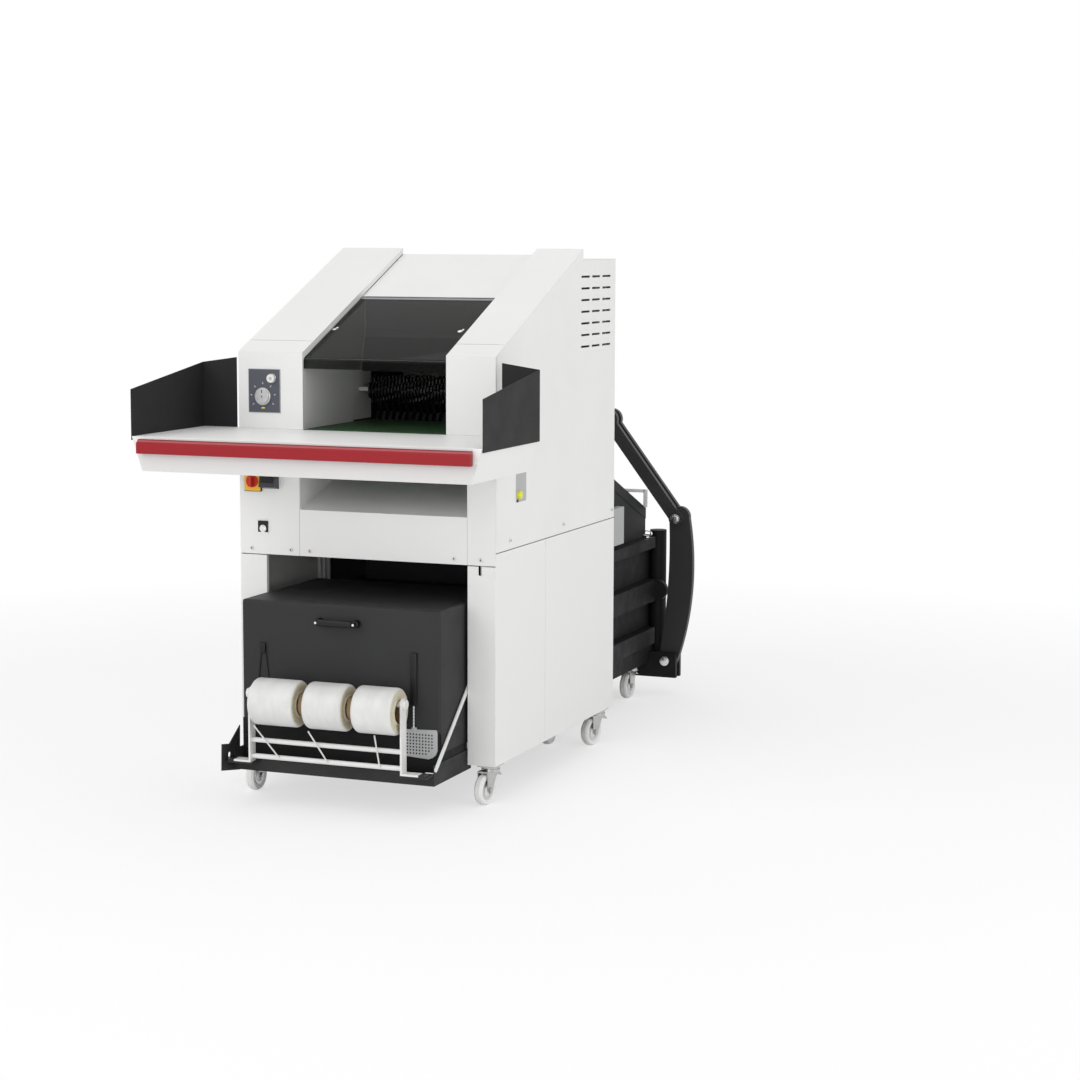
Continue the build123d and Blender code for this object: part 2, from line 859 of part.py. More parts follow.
def wing():
    """Folded guard sheet on the table's right edge."""
    low = table_top_z - wing_lap
    side = face_yz(
        (
            (table_front_y, low), (table_front_y, wing_front_z), (table_rear_y, wing_corner_z),
            (table_rear_y, low)),
        wing_x, wing_x + wing_t)
    outer = wing_x + wing_t
    rest = table_top_z + seat
    back = face_xz(
        ((wing_inner_x, rest), (wing_inner_x, wing_inner_z), (outer, wing_corner_z), (outer, rest)),
        table_rear_y - wing_t, table_rear_y)
    return side + back


pieces["table_wings"] = [wing(), mirrored(wing())]


def safety_bar():
    """Red strip along the table's front edge, with a bevelled top and three guide pins."""
    points = (
        (bar_back_y, bar_bottom_z), (bar_front_y, bar_bottom_z), (bar_front_y, bar_edge_z),
        (bar_back_y - bar_bevel_y, bar_top_z), (bar_back_y, bar_top_z))
    bar = face_yz(points, -bar_half_w, bar_half_w)
    for x in (-bar_pin_x, 0.0, bar_pin_x):
        bar += bar_y(x, bar_back_y, bar_back_y + bar_pin_l, bar_pin_z, bar_pin_r)
    return bar


pieces["safety_bar"] = safety_bar()

# Controls: the marked plate with its knob and button
pieces["control_plate"] = (
    block(plate_x0, plate_x1, -plate_t, 0, plate_z0, plate_z1) - knob_hole - button_hole)
knob_back = -plate_t - seat
knob = bar_y(knob_x, knob_back - knob_h, knob_back, knob_z, knob_r)
knob = chamfer(knob.edges().group_by(Axis.Y)[0], knob_bevel)
pointer_y = knob_back - knob_h
pointer = block(
    knob_x - pointer_w / 2, knob_x + pointer_w / 2, pointer_y - 2 * over, pointer_y + 2 * over, knob_z,
    knob_z + knob_r - pointer_gap)
pieces["mode_knob"] = knob + pointer + bar_y(knob_x, knob_back - over, skin + rim / 2, knob_z, spindle_r)
button_face = -plate_t - button_travel - seat
button = bar_y(button_x, button_face - button_h, button_face, button_z, button_r)
pieces["start_button"] = button + bar_y(button_x, button_face - over, skin + rim / 2, button_z, spindle_r)

# Controls: the main switch with its inlet, and the cam lock
switch = block(
    switch_x - switch_w / 2, switch_x + switch_w / 2, -switch_t, 0, switch_z - switch_below,
    switch_z + switch_above)
switch_bore = bar_y(switch_x, -switch_t - over, over, switch_z, spindle_r + fit)
inlet_z0 = switch_z - inlet_low
inlet_outline = (
    (0, inlet_z0), (0, inlet_z0 + inlet_h), (inlet_slant - inlet_depth, inlet_z0 + inlet_h),
    (-inlet_depth, inlet_z0 + inlet_lip))
inlet = face_yz(inlet_outline, inlet_x - inlet_w / 2, inlet_x + inlet_w / 2)
pieces["switch_and_inlet"] = [switch - switch_bore, inlet]
switch_knob = bar_y(switch_x, -switch_t - switch_knob_t, -switch_t - seat, switch_z, switch_knob_r)
switch_grip = block(
    switch_x - switch_grip_w / 2, switch_x + switch_grip_w / 2, -switch_t - switch_knob_h,
    -switch_t - switch_knob_t / 2, switch_z - switch_grip_l / 2, switch_z + switch_grip_l / 2)
switch_spindle = bar_y(switch_x, -switch_t - over, skin + rim / 2, switch_z, spindle_r)
pieces["main_switch_knob"] = switch_knob + switch_grip + switch_spindle
cam_y = rim - lock_t
barrel = bar_y(lock_x, -lock_t - over, cam_y, lock_z, lock_r)
barrel -= block(
    lock_x - key_w / 2, lock_x + key_w / 2, -lock_t - 2 * over, -over, lock_z - key_l / 2, lock_z + key_l / 2)
cam = block(lock_x - cam_w / 2, lock_x + cam_w / 2, cam_y, rim, lock_z - key_l / 2, lock_z + cam_l)
pieces["cam_lock"] = barrel + cam

# Visor
visor_y = 441.0
visor_t = 4.0
visor_front_y = -6.0
visor_lip = 38.0
visor_bead_r = 7.0
visor_pin_r = 5.0
visor_drop = 26.0
visor_z = slope_z(visor_y, visor_drop)


def visor():
    """Clear sheet over the intake, with a lip at its front and a bead with two pivot pins at its top."""
    x0 = intake_left_x + shut
    x1 = intake_right_x - shut
    bend_z = slope_z(visor_front_y, visor_drop)
    path = ((visor_y, visor_z), (visor_front_y, bend_z), (visor_front_y, bend_z - visor_lip))
    sheet = face_yz(ribbon(path, visor_t), x0, x1)
    bead = bar_x(x0, x1, visor_y, visor_z, visor_bead_r)
    end = shut + cheek_t + seat
    return sheet + bead + bar_x(x0 - end, x1 + end, visor_y, visor_z, visor_pin_r)


pieces["visor"] = visor()

# Intake lining, feed unit, belt, drum and feed roller
back_y = 468.0
back_bend_z = roller_z + 200.0
back_low_y = roller_y
back_low_z = roller_z + 61.0
cheek_low_z = belt_top_z - belt_t + 0.5
unit_front_y = nose_y - 12.0
unit_low_z = belt_top_z - 75.0
unit_mid_z = belt_top_z - 12.0
unit_top_z = roller_z + 106.0
unit_rear_z = roller_z + 16.0
unit_slope_y = 680.0
cheek_step_z = unit_top_z + 10.0
stop_y = 60.0
stop_r = 4.0
stop_l = 12.0
stop_z = slope_z(stop_y, visor_drop) - (visor_t + stop_r + 2 * seat) * slope_stretch


def intake_lining():
    """Two cheeks and a folded back sheet that close the space under the visor, with the visor's stops."""
    under = skin + seat
    drop = middle_drop
    end = back_y + cheek_t
    points = (
        (under, cheek_low_z), (under, slope_z(under, drop)), (end, slope_z(end, drop)), (end, cheek_step_z),
        (cheek_y, cheek_step_z), (cheek_y, cheek_low_z))
    left = face_yz(points, intake_left_x - cheek_t - seat, intake_left_x - seat)
    right = face_yz(points, intake_right_x + seat, intake_right_x + seat + cheek_t)
    path = ((back_y, slope_z(back_y, drop + skin + belt_t)), (back_y, back_bend_z), (back_low_y, back_low_z))
    back = face_yz(ribbon(path, cheek_t), intake_left_x - seat, intake_right_x + seat)
    pins = bar_x(
        intake_left_x - 2 * cheek_t, intake_right_x + 2 * cheek_t, visor_y, visor_z, visor_pin_r + fit)
    stops = bar_x(intake_left_x - seat - over, intake_left_x + stop_l, stop_y, stop_z, stop_r)
    stops += bar_x(intake_right_x - stop_l, intake_right_x + seat + over, stop_y, stop_z, stop_r)
    return left + right + back + stops - pins


pieces["intake_lining"] = intake_lining()
unit_left_x = intake_left_x - 2 * seat - cheek_t  # inner face of the left plate
unit_right_x = intake_right_x + 2 * seat + cheek_t
unit_x0 = unit_left_x - unit_plate_t
unit_x1 = unit_right_x + unit_plate_t
belt_inner_top = belt_top_z - belt_t
nose_z = belt_inner_top - nose_r - seat
drum_z = belt_inner_top - drum_r - seat
lower_z = cutter_mid_z - cutter_distance / 2
upper_z = cutter_mid_z + cutter_distance / 2
slider_t = 6.0


def chute():
    """Four sloping walls from under the cutters to the opening in the channel's roof."""
    low = Plane.XY.offset(roof_top_z + seat) * Pos(0, (opening_y0 + opening_y1) / 2)
    high = Plane.XY.offset(bearer_z) * Pos((unit_x0 + unit_x1) / 2, (chute_top_y0 + chute_top_y1) / 2)
    low_w = 2 * opening_half_w
    low_l = opening_y1 - opening_y0
    high_w = unit_x1 - unit_x0 - 2 * chute_t
    high_l = chute_top_y1 - chute_top_y0 - 2 * chute_t
    out = 2 * chute_t
    outer = loft([low * Rectangle(low_w + out, low_l + out), high * Rectangle(high_w + out, high_l + out)])
    return outer - loft([low * Rectangle(low_w, low_l), high * Rectangle(high_w, high_l)])


def feed_unit():
    """Two bearing plates joined by the belt's nose bar and slider, with the chute below them."""
    unit_end_y = bearer_rear_y + post
    step_y = cheek_y + belt_t
    outline = (
        (unit_front_y, unit_low_z), (unit_front_y, unit_mid_z), (step_y, unit_mid_z), (step_y, unit_top_z),
        (unit_slope_y, unit_top_z), (unit_end_y, unit_rear_z), (unit_end_y, bearer_z),
        (bearer_front_y, bearer_z), (bearer_front_y, unit_low_z))
    unit = face_yz(outline, unit_x0, unit_left_x) + face_yz(outline, unit_right_x, unit_x1)
    unit += bar_x(unit_left_x, unit_right_x, nose_y, nose_z, nose_r)
    unit += block(
        unit_left_x, unit_right_x, nose_y + nose_r + slider_t, drum_y - drum_r - slider_t,
        belt_inner_top - slider_t, belt_inner_top - seat)
    for y, z, r in (
        (cutter_y, lower_z, cutter_journal_r), (cutter_y, upper_z, cutter_journal_r),
        (drum_y, drum_z, journal_r), (roller_y, roller_z, journal_r),
    ):
        unit -= bar_x(unit_x0 - over, unit_x1 + over, y, z, r + fit)
    return unit + chute()


pieces["feed_unit"] = feed_unit()


def loop_face(grow):
    """Outline of the belt round the nose bar and the drum, grown outward."""
    r_nose = nose_r + seat + grow
    r_drum = drum_r + seat + grow
    dy = drum_y - nose_y
    dz = drum_z - nose_z
    lean = atan2(dz, dy)
    spread = atan2(sqrt(dy * dy + dz * dz - (r_nose - r_drum) ** 2), r_nose - r_drum)
    points = []
    for y, z, r in ((nose_y, nose_z, r_nose), (drum_y, drum_z, r_drum)):
        for turn in (lean + spread, lean - spread):
            points.append((y + r * cos(turn), z + r * sin(turn)))
    nose_top, nose_low, drum_top, drum_low = points
    edges = Line(nose_top, drum_top)
    edges += ThreePointArc(drum_top, (drum_y + r_drum * cos(lean), drum_z + r_drum * sin(lean)), drum_low)
    edges += Line(drum_low, nose_low)
    edges += ThreePointArc(nose_low, (nose_y - r_nose * cos(lean), nose_z - r_nose * sin(lean)), nose_top)
    return make_face(edges)


belt = Plane.YZ.offset(belt_x0) * (loop_face(belt_t) - loop_face(0.0))
pieces["conveyor_belt"] = extrude(belt, belt_x1 - belt_x0)
side_gap = 1.0
drum = bar_x(unit_left_x + side_gap, unit_right_x - side_gap, drum_y, drum_z, drum_r)
journals = bar_x(unit_x0 - journal_end, unit_x1 + journal_end, drum_y, drum_z, journal_r)
pieces["conveyor_drum"] = drum + journals


def feed_roller():
    """Roller with rings that press the waste onto the belt."""
    pitch = (belt_x1 - belt_x0) / roller_ribs
    half_rib = pitch * roller_rib_share / 2
    roller = bar_x(belt_x0, belt_x1, roller_y, roller_z, roller_core_r)
    for i in range(roller_ribs):
        x = belt_x0 + pitch * (i + 0.5)
        roller += bar_x(x - half_rib, x + half_rib, roller_y, roller_z, roller_r)
    return roller + bar_x(unit_x0 - journal_end, unit_x1 + journal_end, roller_y, roller_z, journal_r)


pieces["feed_roller"] = feed_roller()

# Cutter shafts, gears and motor
cut_x0 = intake_left_x + shut
cut_x1 = intake_right_x - shut
disc_pitch = (cut_x1 - cut_x0) / disc_count
disc_t = disc_pitch / 2 - disc_gap
gear_x1 = unit_x0 - gear_gap
gear_x0 = gear_x1 - gear_w
gear_step = 2.0  # shaft seats under the gears, and shaft ends past them


def cutter(z, start, turn):
    """Hexagonal shaft with hooked cutting discs, its journals and its gear seat."""
    outline = []
    heel_r = disc_r * (1 - tooth_depth)
    for i in range(disc_teeth):
        tip = 2 * pi * turn * i / disc_teeth
        heel = tip + 2 * pi * turn * tooth_share / disc_teeth
        outline.append((disc_r * cos(tip), disc_r * sin(tip)))
        outline.append((heel_r * cos(heel), heel_r * sin(heel)))
    disc = make_face(Polyline(*outline, close=True))
    hexagon = RegularPolygon(hex_flat / 2, 6, major_radius=False)
    hex_l = unit_right_x - unit_left_x - 2 * side_gap
    shaft = extrude(Plane.YZ.offset(unit_left_x + side_gap) * hexagon, hex_l)
    for i in range(disc_count):
        shaft += extrude(Plane.YZ.offset(cut_x0 + start + i * disc_pitch) * disc, disc_t)
    shaft += bar_x(gear_x0 - gear_step, unit_x1 + journal_end, 0, 0, cutter_journal_r)
    return Pos(0, cutter_y, z) * shaft


def gear(teeth, phase, bore):
    """Spur gear in the YZ plane with involute flanks, centred on the X axis."""
    pitch_r = gear_module * teeth / 2
    base_r = pitch_r * cos(pressure_angle)
    tip_r = pitch_r + gear_module * 0.95
    root_r = pitch_r - gear_module * 1.25
    half_tooth = (pi * gear_module / 2 - backlash / 2) / (2 * pitch_r)
    pitch_roll = tan(pressure_angle) - pressure_angle

    def flank(r):
        pressure = atan2(sqrt(max(r * r - base_r * base_r, 0.0)), base_r)
        return half_tooth + pitch_roll - (tan(pressure) - pressure)

    outline = []
    radii = (root_r, max(base_r, root_r + 0.1), pitch_r, tip_r)
    for i in range(teeth):
        middle = 2 * pi * i / teeth + radians(phase)
        for r in radii:
            outline.append((r * cos(middle - flank(r)), r * sin(middle - flank(r))))
        for r in radii[::-1]:
            outline.append((r * cos(middle + flank(r)), r * sin(middle + flank(r))))
    blank = extrude(Plane.YZ.offset(gear_x0) * make_face(Polyline(*outline, close=True)), gear_w)
    return blank - bar_x(gear_x0 - over, gear_x1 + over, 0, 0, bore)


motor_offset = gear_module * (gear_teeth + pinion_teeth) / 2 / sqrt(2)
motor_y = cutter_y + motor_offset
motor_z = lower_z - motor_offset
gear_bore = cutter_journal_r - gear_step
lower_gear = Pos(0, cutter_y, lower_z) * gear(gear_teeth, 0.0, gear_bore)
upper_gear = Pos(0, cutter_y, upper_z) * gear(gear_teeth, 180 / gear_teeth, gear_bore)
pieces["lower_cutter"] = cutter(lower_z, 0.0, 1) + lower_gear
pieces["upper_cutter"] = cutter(upper_z, disc_pitch / 2, -1) + upper_gear
motor_face = gear_x0 - 2 * gear_step
pinion = Pos(0, motor_y, motor_z) * gear(pinion_teeth, 180 / pinion_teeth, motor_shaft_r - gear_step)
pinion_shaft = bar_x(motor_face - motor_shaft_l, gear_x1 + gear_step, motor_y, motor_z, motor_shaft_r)
pieces["motor_pinion"] = pinion + pinion_shaft


def drive_motor():
    """Finned motor on a plate that stands on pillars from the left bearing plate."""
    back = motor_face - motor_plate_t
    motor = block(
        back, motor_face, motor_y - motor_plate_front, motor_y + motor_plate_back,
        motor_z - motor_plate_down, motor_z + motor_plate_up)
    motor += bar_x(back - motor_l, back, motor_y, motor_z, motor_r - fin_h)
    fin_x0 = back - motor_l / 2 - fin_l / 2
    for i in range(motor_fins):
        fin = block(fin_x0, fin_x0 + fin_l, motor_r - 2 * fin_h, motor_r, -fin_t / 2, fin_t / 2)
        motor += Pos(0, motor_y, motor_z) * Rot(360 / motor_fins * i, 0, 0) * fin
    edge = 2 * pillar_r
    for y, z in (
        (motor_y + motor_plate_back - edge, motor_z - 3 * pillar_r),
        (motor_y + motor_plate_back - edge, motor_z + motor_plate_up - edge),
        (motor_y - motor_plate_front + edge, motor_z - 3 * pillar_r),
    ):
        motor += bar_x(motor_face, unit_x0 - seat, y, z, pillar_r)
    bore_x0 = motor_face - motor_shaft_l - over
    return motor - bar_x(bore_x0, motor_face + over, motor_y, motor_z, motor_shaft_r + fit)


pieces["drive_motor"] = drive_motor()

# Press channel


def channel():
    """Welded press channel: shell, side beams, front plate, rails, skirt, outlet posts and clamp brackets."""
    front = channel_front_y
    rear = channel_rear_y
    body = block(-roof_x, roof_x, front, rear, floor_under, channel_floor_z)
    body += block(-roof_x, roof_x, front, rear, channel_roof_z, roof_top_z)
    body += block(-roof_x, roof_x, front, front + front_plate_t, floor_under, roof_top_z)
    side = block(channel_half_w, roof_x, front, rear, floor_under, roof_top_z)
    for z0, z1 in beam_spans:
        side += block(roof_x, beam_x, front, beam_end_y, z0, z1)
    nose_x = beam_x + beam_nose
    nose_r_out = mid_beam_h / 2
    side += block(
        roof_x, nose_x, lever_y, lever_y + lever_t, mid_beam_z - nose_r_out, mid_beam_z + nose_r_out)
    side += bar_y(nose_x, lever_y, lever_y + lever_t, mid_beam_z, nose_r_out)
    side += bar_z(
        roof_x + post_r - 2 * over, outlet_post_y, floor_under - outlet_post_down,
        roof_top_z + outlet_post_up, post_r)
    side -= block(0, channel_half_w, front, outlet_post_y + 2 * post_r, channel_floor_z, channel_roof_z)
    side += block(rail_x0, rail_x1, front, lever_y + lever_t + seat + bracket_t, caster_h, floor_under)
    shelf_top = hood_side_z - seat
    side += block(hood_half_w - skirt_t, hood_half_w, hood_front_y, hood_rear_y, skirt_z, shelf_top)
    side += block(
        rail_x1, hood_half_w - skirt_t, hood_front_y, hood_rear_y, shelf_top - skirt_shelf_t, shelf_top)
    lug = block(lug_x, lug_x + lug_t, wheelset_y - lug_half_l, wheelset_y + lug_half_l, lug_z, caster_h)
    side += lug - bar_x(lug_x - over, lug_x + lug_t + over, wheelset_y, wheel_r, wheelset_axle_r + fit)
    body += side + mirrored(side)
    body += block(
        -hood_half_w, hood_half_w, hood_front_y, hood_front_y + skirt_t, skirt_z, hood_front_z - seat)
    body += block(-rail_x1, rail_x1, hood_front_y, front, shelf_top - skirt_shelf_t, shelf_top)
    for y0 in (lever_y - seat - bracket_t, lever_y + lever_t + seat):
        bracket = block(-bracket_x, bracket_x, y0, y0 + bracket_t, bracket_z0, bracket_z1)
        for x in (-pivot_x, pivot_x):
            bracket -= bar_y(x, y0 - over, y0 + bracket_t + over, pivot_z, pivot_bolt_r)
        body += bracket
    return body - block(
        -opening_half_w, opening_half_w, opening_y0, opening_y1, channel_roof_z - over, roof_top_z + over)


pieces["press_channel"] = channel()

# Press ram, its rod and both cylinders
ram_half = channel_half_w - ram_side_gap
ram_back_y = ram_face_y - ram_l
ram_z0 = channel_floor_z + seat
ram_z1 = channel_roof_z - seat


def press_ram():
    """Hollow ram with a grooved face that lets the binding tools pass behind the bale."""
    body = block(-ram_half, ram_half, ram_back_y, ram_face_y, ram_z0, ram_z1)
    inner = ram_half - ram_wall
    body -= block(
        -inner, inner, ram_back_y - over, ram_face_y - ram_face_t, ram_z0 + ram_wall, ram_z1 - ram_wall)
    for z in (press_z - groove_pitch, press_z, press_z + groove_pitch):
        body -= block(
            -ram_half - over, ram_half + over, ram_face_y - groove_depth, ram_face_y + over,
            z - groove_h / 2, z + groove_h / 2)
    return body


barrel_y0 = channel_front_y + front_plate_t
barrel_y1 = barrel_y0 + barrel_l
rod_tail_y = barrel_y0 + rod_tail
pieces["press_ram"] = press_ram() + bar_y(0, rod_tail_y, ram_face_y - ram_face_t, press_z, rod_r)
press_barrel = bar_y(0, barrel_y0, barrel_y1, press_z, barrel_r)
press_barrel += bar_y(0, barrel_y1 - gland_y - gland_l, barrel_y1 - gland_y, press_z, gland_r)
press_barrel += bar_y(0, barrel_y0, barrel_y0 + flange_l, press_z, flange_r)
press_barrel -= bar_y(0, rod_tail_y - pad_t, barrel_y1 + over, press_z, rod_r + fit)
clamp_barrel = bar_z(0, clamp_y, roof_top_z + seat, clamp_barrel_top, clamp_barrel_r)
clamp_barrel -= bar_z(
    0, clamp_y, clamp_rod_low - clamp_stroke - pad_t, clamp_barrel_top + over, clamp_rod_r + fit)
pieces["hydraulic_cylinders"] = [press_barrel, clamp_barrel]

# Bale clamp: crosshead, arms and levers
arm_front_y = lever_y - seat - bracket_t
arm_rear_y = lever_y + lever_t + seat


def pin_y(x, z, head):
    """Pin with a head on both ends, through the arms and what lies between them."""
    pin = bar_y(x, arm_front_y - pin_head_t / 2, arm_rear_y + bracket_t + pin_head_t / 2, z, clamp_pin_r)
    for y0 in (arm_front_y - seat - pin_head_t, arm_rear_y + bracket_t + seat):
        pin += bar_y(x, y0, y0 + pin_head_t, z, head)
    return pin


def crosshead():
    """Yoke on the clamp cylinder's rod with the two upper pins."""
    z = crosshead_z
    half = (
        (crosshead_x, z + crosshead_half_h), (crosshead_x + crosshead_end, z),
        (crosshead_x, z - crosshead_half_h), (crosshead_mid_x, z - crosshead_mid_h))
    outline = half + tuple((-x, h) for x, h in half[::-1])
    yoke = face_xz(outline, lever_y, lever_y + lever_t)
    collar_z0 = z - clamp_collar_drop
    yoke += bar_z(0, clamp_y, clamp_rod_low, collar_z0 + clamp_collar_l, clamp_rod_r)
    yoke += bar_z(0, clamp_y, collar_z0, collar_z0 + clamp_collar_l, clamp_collar_r)
    for x in (-crosshead_x, crosshead_x):
        yoke += pin_y(x, z, arm_pin_head_r)
    return yoke


pieces["clamp_crosshead"] = crosshead()
arm_dx = lever_top_x - crosshead_x
arm_dz = lever_top_z - crosshead_z
arm_l = hypot(arm_dx, arm_dz)
arm_turn = degrees(atan2(arm_dz, arm_dx))


def clamp_arm():
    """Pair of straight arms from the crosshead to the right lever."""
    plate = Pos(0, 0) * Circle(arm_head_r) + Pos(arm_l, 0) * Circle(arm_eye_r)
    plate += Pos(arm_l / 2, 0) * Rectangle(arm_l, arm_w)
    plate -= Circle(clamp_pin_r + fit)
    plate -= Pos(arm_l, 0) * Circle(clamp_pin_r + open_pivot_gap)
    arms = []
    for y0 in (arm_front_y, arm_rear_y):
        solid = extrude(Plane.XZ * plate, -bracket_t)
        arms.append(Pos(crosshead_x, y0, crosshead_z) * Rot(0, -arm_turn, 0) * solid)
    return arms


pieces["clamp_arm_right"] = clamp_arm()
pieces["clamp_arm_left"] = [mirrored(arm) for arm in clamp_arm()]


def clamp_lever():
    """Curved plate that leans on the end of the channel's middle beam, with its upper pin."""
    outer_top = (lever_top_x + lever_outer, lever_top_z)
    inner_top = (lever_top_x - lever_inner, lever_top_z)
    outer_foot = (pivot_x + lever_foot, pivot_z - lever_lean)
    inner_foot = (pivot_x - lever_heel, pivot_z + lever_lean)
    crown = (lever_top_x + lever_lean + 2 * over, lever_top_z + lever_crown)
    outline = ThreePointArc(outer_top, (lever_belly_x, lever_belly_z), outer_foot)
    outline += ThreePointArc(outer_foot, (pivot_x, pivot_z - lever_toe), inner_foot)
    outline += ThreePointArc(inner_foot, (lever_waist_x, lever_waist_z), inner_top)
    outline += ThreePointArc(inner_top, crown, outer_top)
    plate = extrude(Plane.XZ.offset(-lever_y) * make_face(outline), -lever_t)
    plate -= bar_y(pivot_x, lever_y - over, lever_y + lever_t + over, pivot_z, pivot_bolt_r + fit)
    return plate + pin_y(lever_top_x, lever_top_z, lever_pin_head_r)


pieces["clamp_lever_right"] = clamp_lever()
pieces["clamp_lever_left"] = mirrored(clamp_lever())

# Housing behind the tower with its junction box


def housing_z(y):
    """Height of the housing's sloping top at depth y."""
    return housing_rear_z + housing_pitch * (housing_rear_y - y)


housing_low_z = roof_top_z + seat
housing_side = (
    (housing_front_y, housing_low_z), (housing_front_y, housing_z(housing_front_y)),
    (housing_rear_y, housing_rear_z), (housing_rear_y, housing_low_z))


def rear_housing():
    """Sheet cover with a sloping top that laps over its sides, and the screen behind the tower."""
    t = housing_t
    under = t * sqrt(1 + housing_pitch ** 2)
    front = housing_front_y
    rear = housing_rear_y
    cover = face_yz(housing_side, -housing_half_w, housing_half_w)
    inner = (
        (front + t, housing_low_z - over), (front + t, housing_z(front + t) - under),
        (rear - t, housing_z(rear - t) - under), (rear - t, housing_low_z - over))
    cover -= face_yz(inner, -housing_half_w + t, housing_half_w - t)
    band = (
        (front, housing_z(front)), (rear, housing_rear_z), (rear, housing_rear_z - band_h),
        (front, housing_z(front) - band_h))
    flange = face_yz(band, housing_half_w, housing_half_w + band_t)
    screen = block(-half_w + skin, half_w - skin, front, front + t, housing_low_z, seam_z)
    return cover + flange + mirrored(flange) + screen


box_y1 = housing_rear_y - box_gap
box_z0 = roof_top_z + box_up
junction_box = block(
    housing_half_w, housing_half_w + box_w, box_y1 - box_l, box_y1, box_z0, box_z0 + box_h)
pieces["rear_housing"] = rear_housing() + junction_box

# Bow on the housing and lifting eyes on the channel's beams
bow_y = housing_rear_y - bow_inset
bow_x = housing_half_w - bow_side_inset
bow_top_z = housing_rear_z + bow_rise
bow_low_z = housing_z(bow_y)


def tube_bow(plane, u0, u1, v0, v1, r, bend):
    """Round bar bent to an upside-down U from (u0, v0) over v1 to (u1, v0)."""
    path = plane * FilletPolyline((u0, v0), (u0, v1), (u1, v1), (u1, v0), radius=bend)
    return sweep(Plane(path @ 0, z_dir=path % 0) * Circle(r), path=path)


rear_bow = tube_bow(Plane.XZ.offset(-bow_y), -bow_x, bow_x, bow_low_z - bow_r, bow_top_z, bow_r, bow_bend)
rear_bow -= face_yz(housing_side, -housing_half_w, housing_half_w)
eye_x = (roof_x + beam_x) / 2
eye_y1 = beam_end_y - eye_gap
eye_y0 = eye_y1 - eye_span
eye = tube_bow(Plane.YZ.offset(eye_x), eye_y0, eye_y1, roof_top_z, roof_top_z + eye_h, eye_r, eye_bend)

# Hood with its bow handle


def hood():
    """Sheet hood over the front of the press, open below and behind."""
    t = hood_t
    inner = hood_half_w - t
    shell = block(-hood_half_w, hood_half_w, hood_front_y, hood_rear_y, hood_side_z, hood_top_z)
    shell -= block(-inner, inner, hood_front_y + t, hood_rear_y + over, hood_side_z - over, hood_top_z - t)
    return shell - block(
        -hood_half_w - over, hood_half_w + over, hood_front_y - over, hood_front_y + skirt_t + seat,
        hood_side_z - over, hood_front_z)


pieces["hood"] = hood()
grip_x = handle_span / 2
grip_y = hood_front_y - handle_reach
grip_plane = Plane(origin=(0, 0, handle_z), x_dir=(1, 0, 0), z_dir=(0, 0, -1))
grip = tube_bow(grip_plane, -grip_x, grip_x, -hood_front_y, -grip_y, handle_r, handle_bend)
for x in (-grip_x, grip_x):
    grip += bar_y(x, hood_front_y - pad_t, hood_front_y, handle_z, pad_r)
pieces["handles"] = [grip, rear_bow, eye, mirrored(eye)]

# Shelf with its cheeks and left bracket
cheek_x0 = hood_half_w + seat
cheek_x1 = cheek_x0 + shelf_cheek_t
cheek_z0 = shelf_z - shelf_t
cheek_z1 = cheek_z0 + cheek_h
lug_y0 = holder_y - holder_w / 2
bracket_outline = ((-330, 115), (-327, 200), (-278, 192), (-207, 240), (-211, 95))
bracket_hole_y = -279.0
bracket_hole_z = 158.0
bracket_hole_r = 9.0


def shelf():
    """Black tray in front of the skirt with a cheek on each side, two lugs and the left bracket."""
    front = shelf_front_y
    lug_z1 = holder_z0 - seat
    shelf_tray = block(-cheek_x0, cheek_x0, front, hood_front_y - seat, cheek_z0, shelf_z)
    shelf_tray += block(cheek_x0, cheek_x1, front, cheek_rear_right_y, cheek_z0, cheek_z1)
    shelf_tray += block(-cheek_x1, -cheek_x0, front, cheek_rear_left_y, cheek_z0, cheek_z1)
    shelf_tray += block(-cheek_x0, cheek_x0, front, front + shelf_t, shelf_z, lug_z1)
    lug_x0 = holder_half_w - roll_axle_r
    for x0, x1 in ((-cheek_x0, -lug_x0), (lug_x0, cheek_x0)):
        shelf_tray += block(x0, x1, lug_y0, front, lug_z1 - shelf_t, lug_z1)
    plate = face_yz(bracket_outline, -cheek_x1 - shelf_cheek_t, -cheek_x1)
    hole_x0 = -cheek_x1 - shelf_cheek_t - over
    plate -= bar_x(hole_x0, over - cheek_x1, bracket_hole_y, bracket_hole_z, bracket_hole_r)
    return shelf_tray + plate


pieces["twine_shelf"] = shelf()

# Roll holder, its axle and the stay on the right
stay_x0 = cheek_x1 + seat
stay_y0 = -242.0
stay_z0 = 158.0
stay_y1 = 44.0
stay_z1 = 398.0
stay_l = hypot(stay_y1 - stay_y0, stay_z1 - stay_z0)
stay_turn = degrees(atan2(stay_z1 - stay_z0, stay_y1 - stay_y0))
flat = Pos(stay_l / 2, 0) * SlotOverall(stay_l + stay_w, stay_w)
stay = Pos(0, stay_y0, stay_z0) * Rot(stay_turn, 0, 0) * extrude(Plane.YZ.offset(stay_x0) * flat, stay_t)


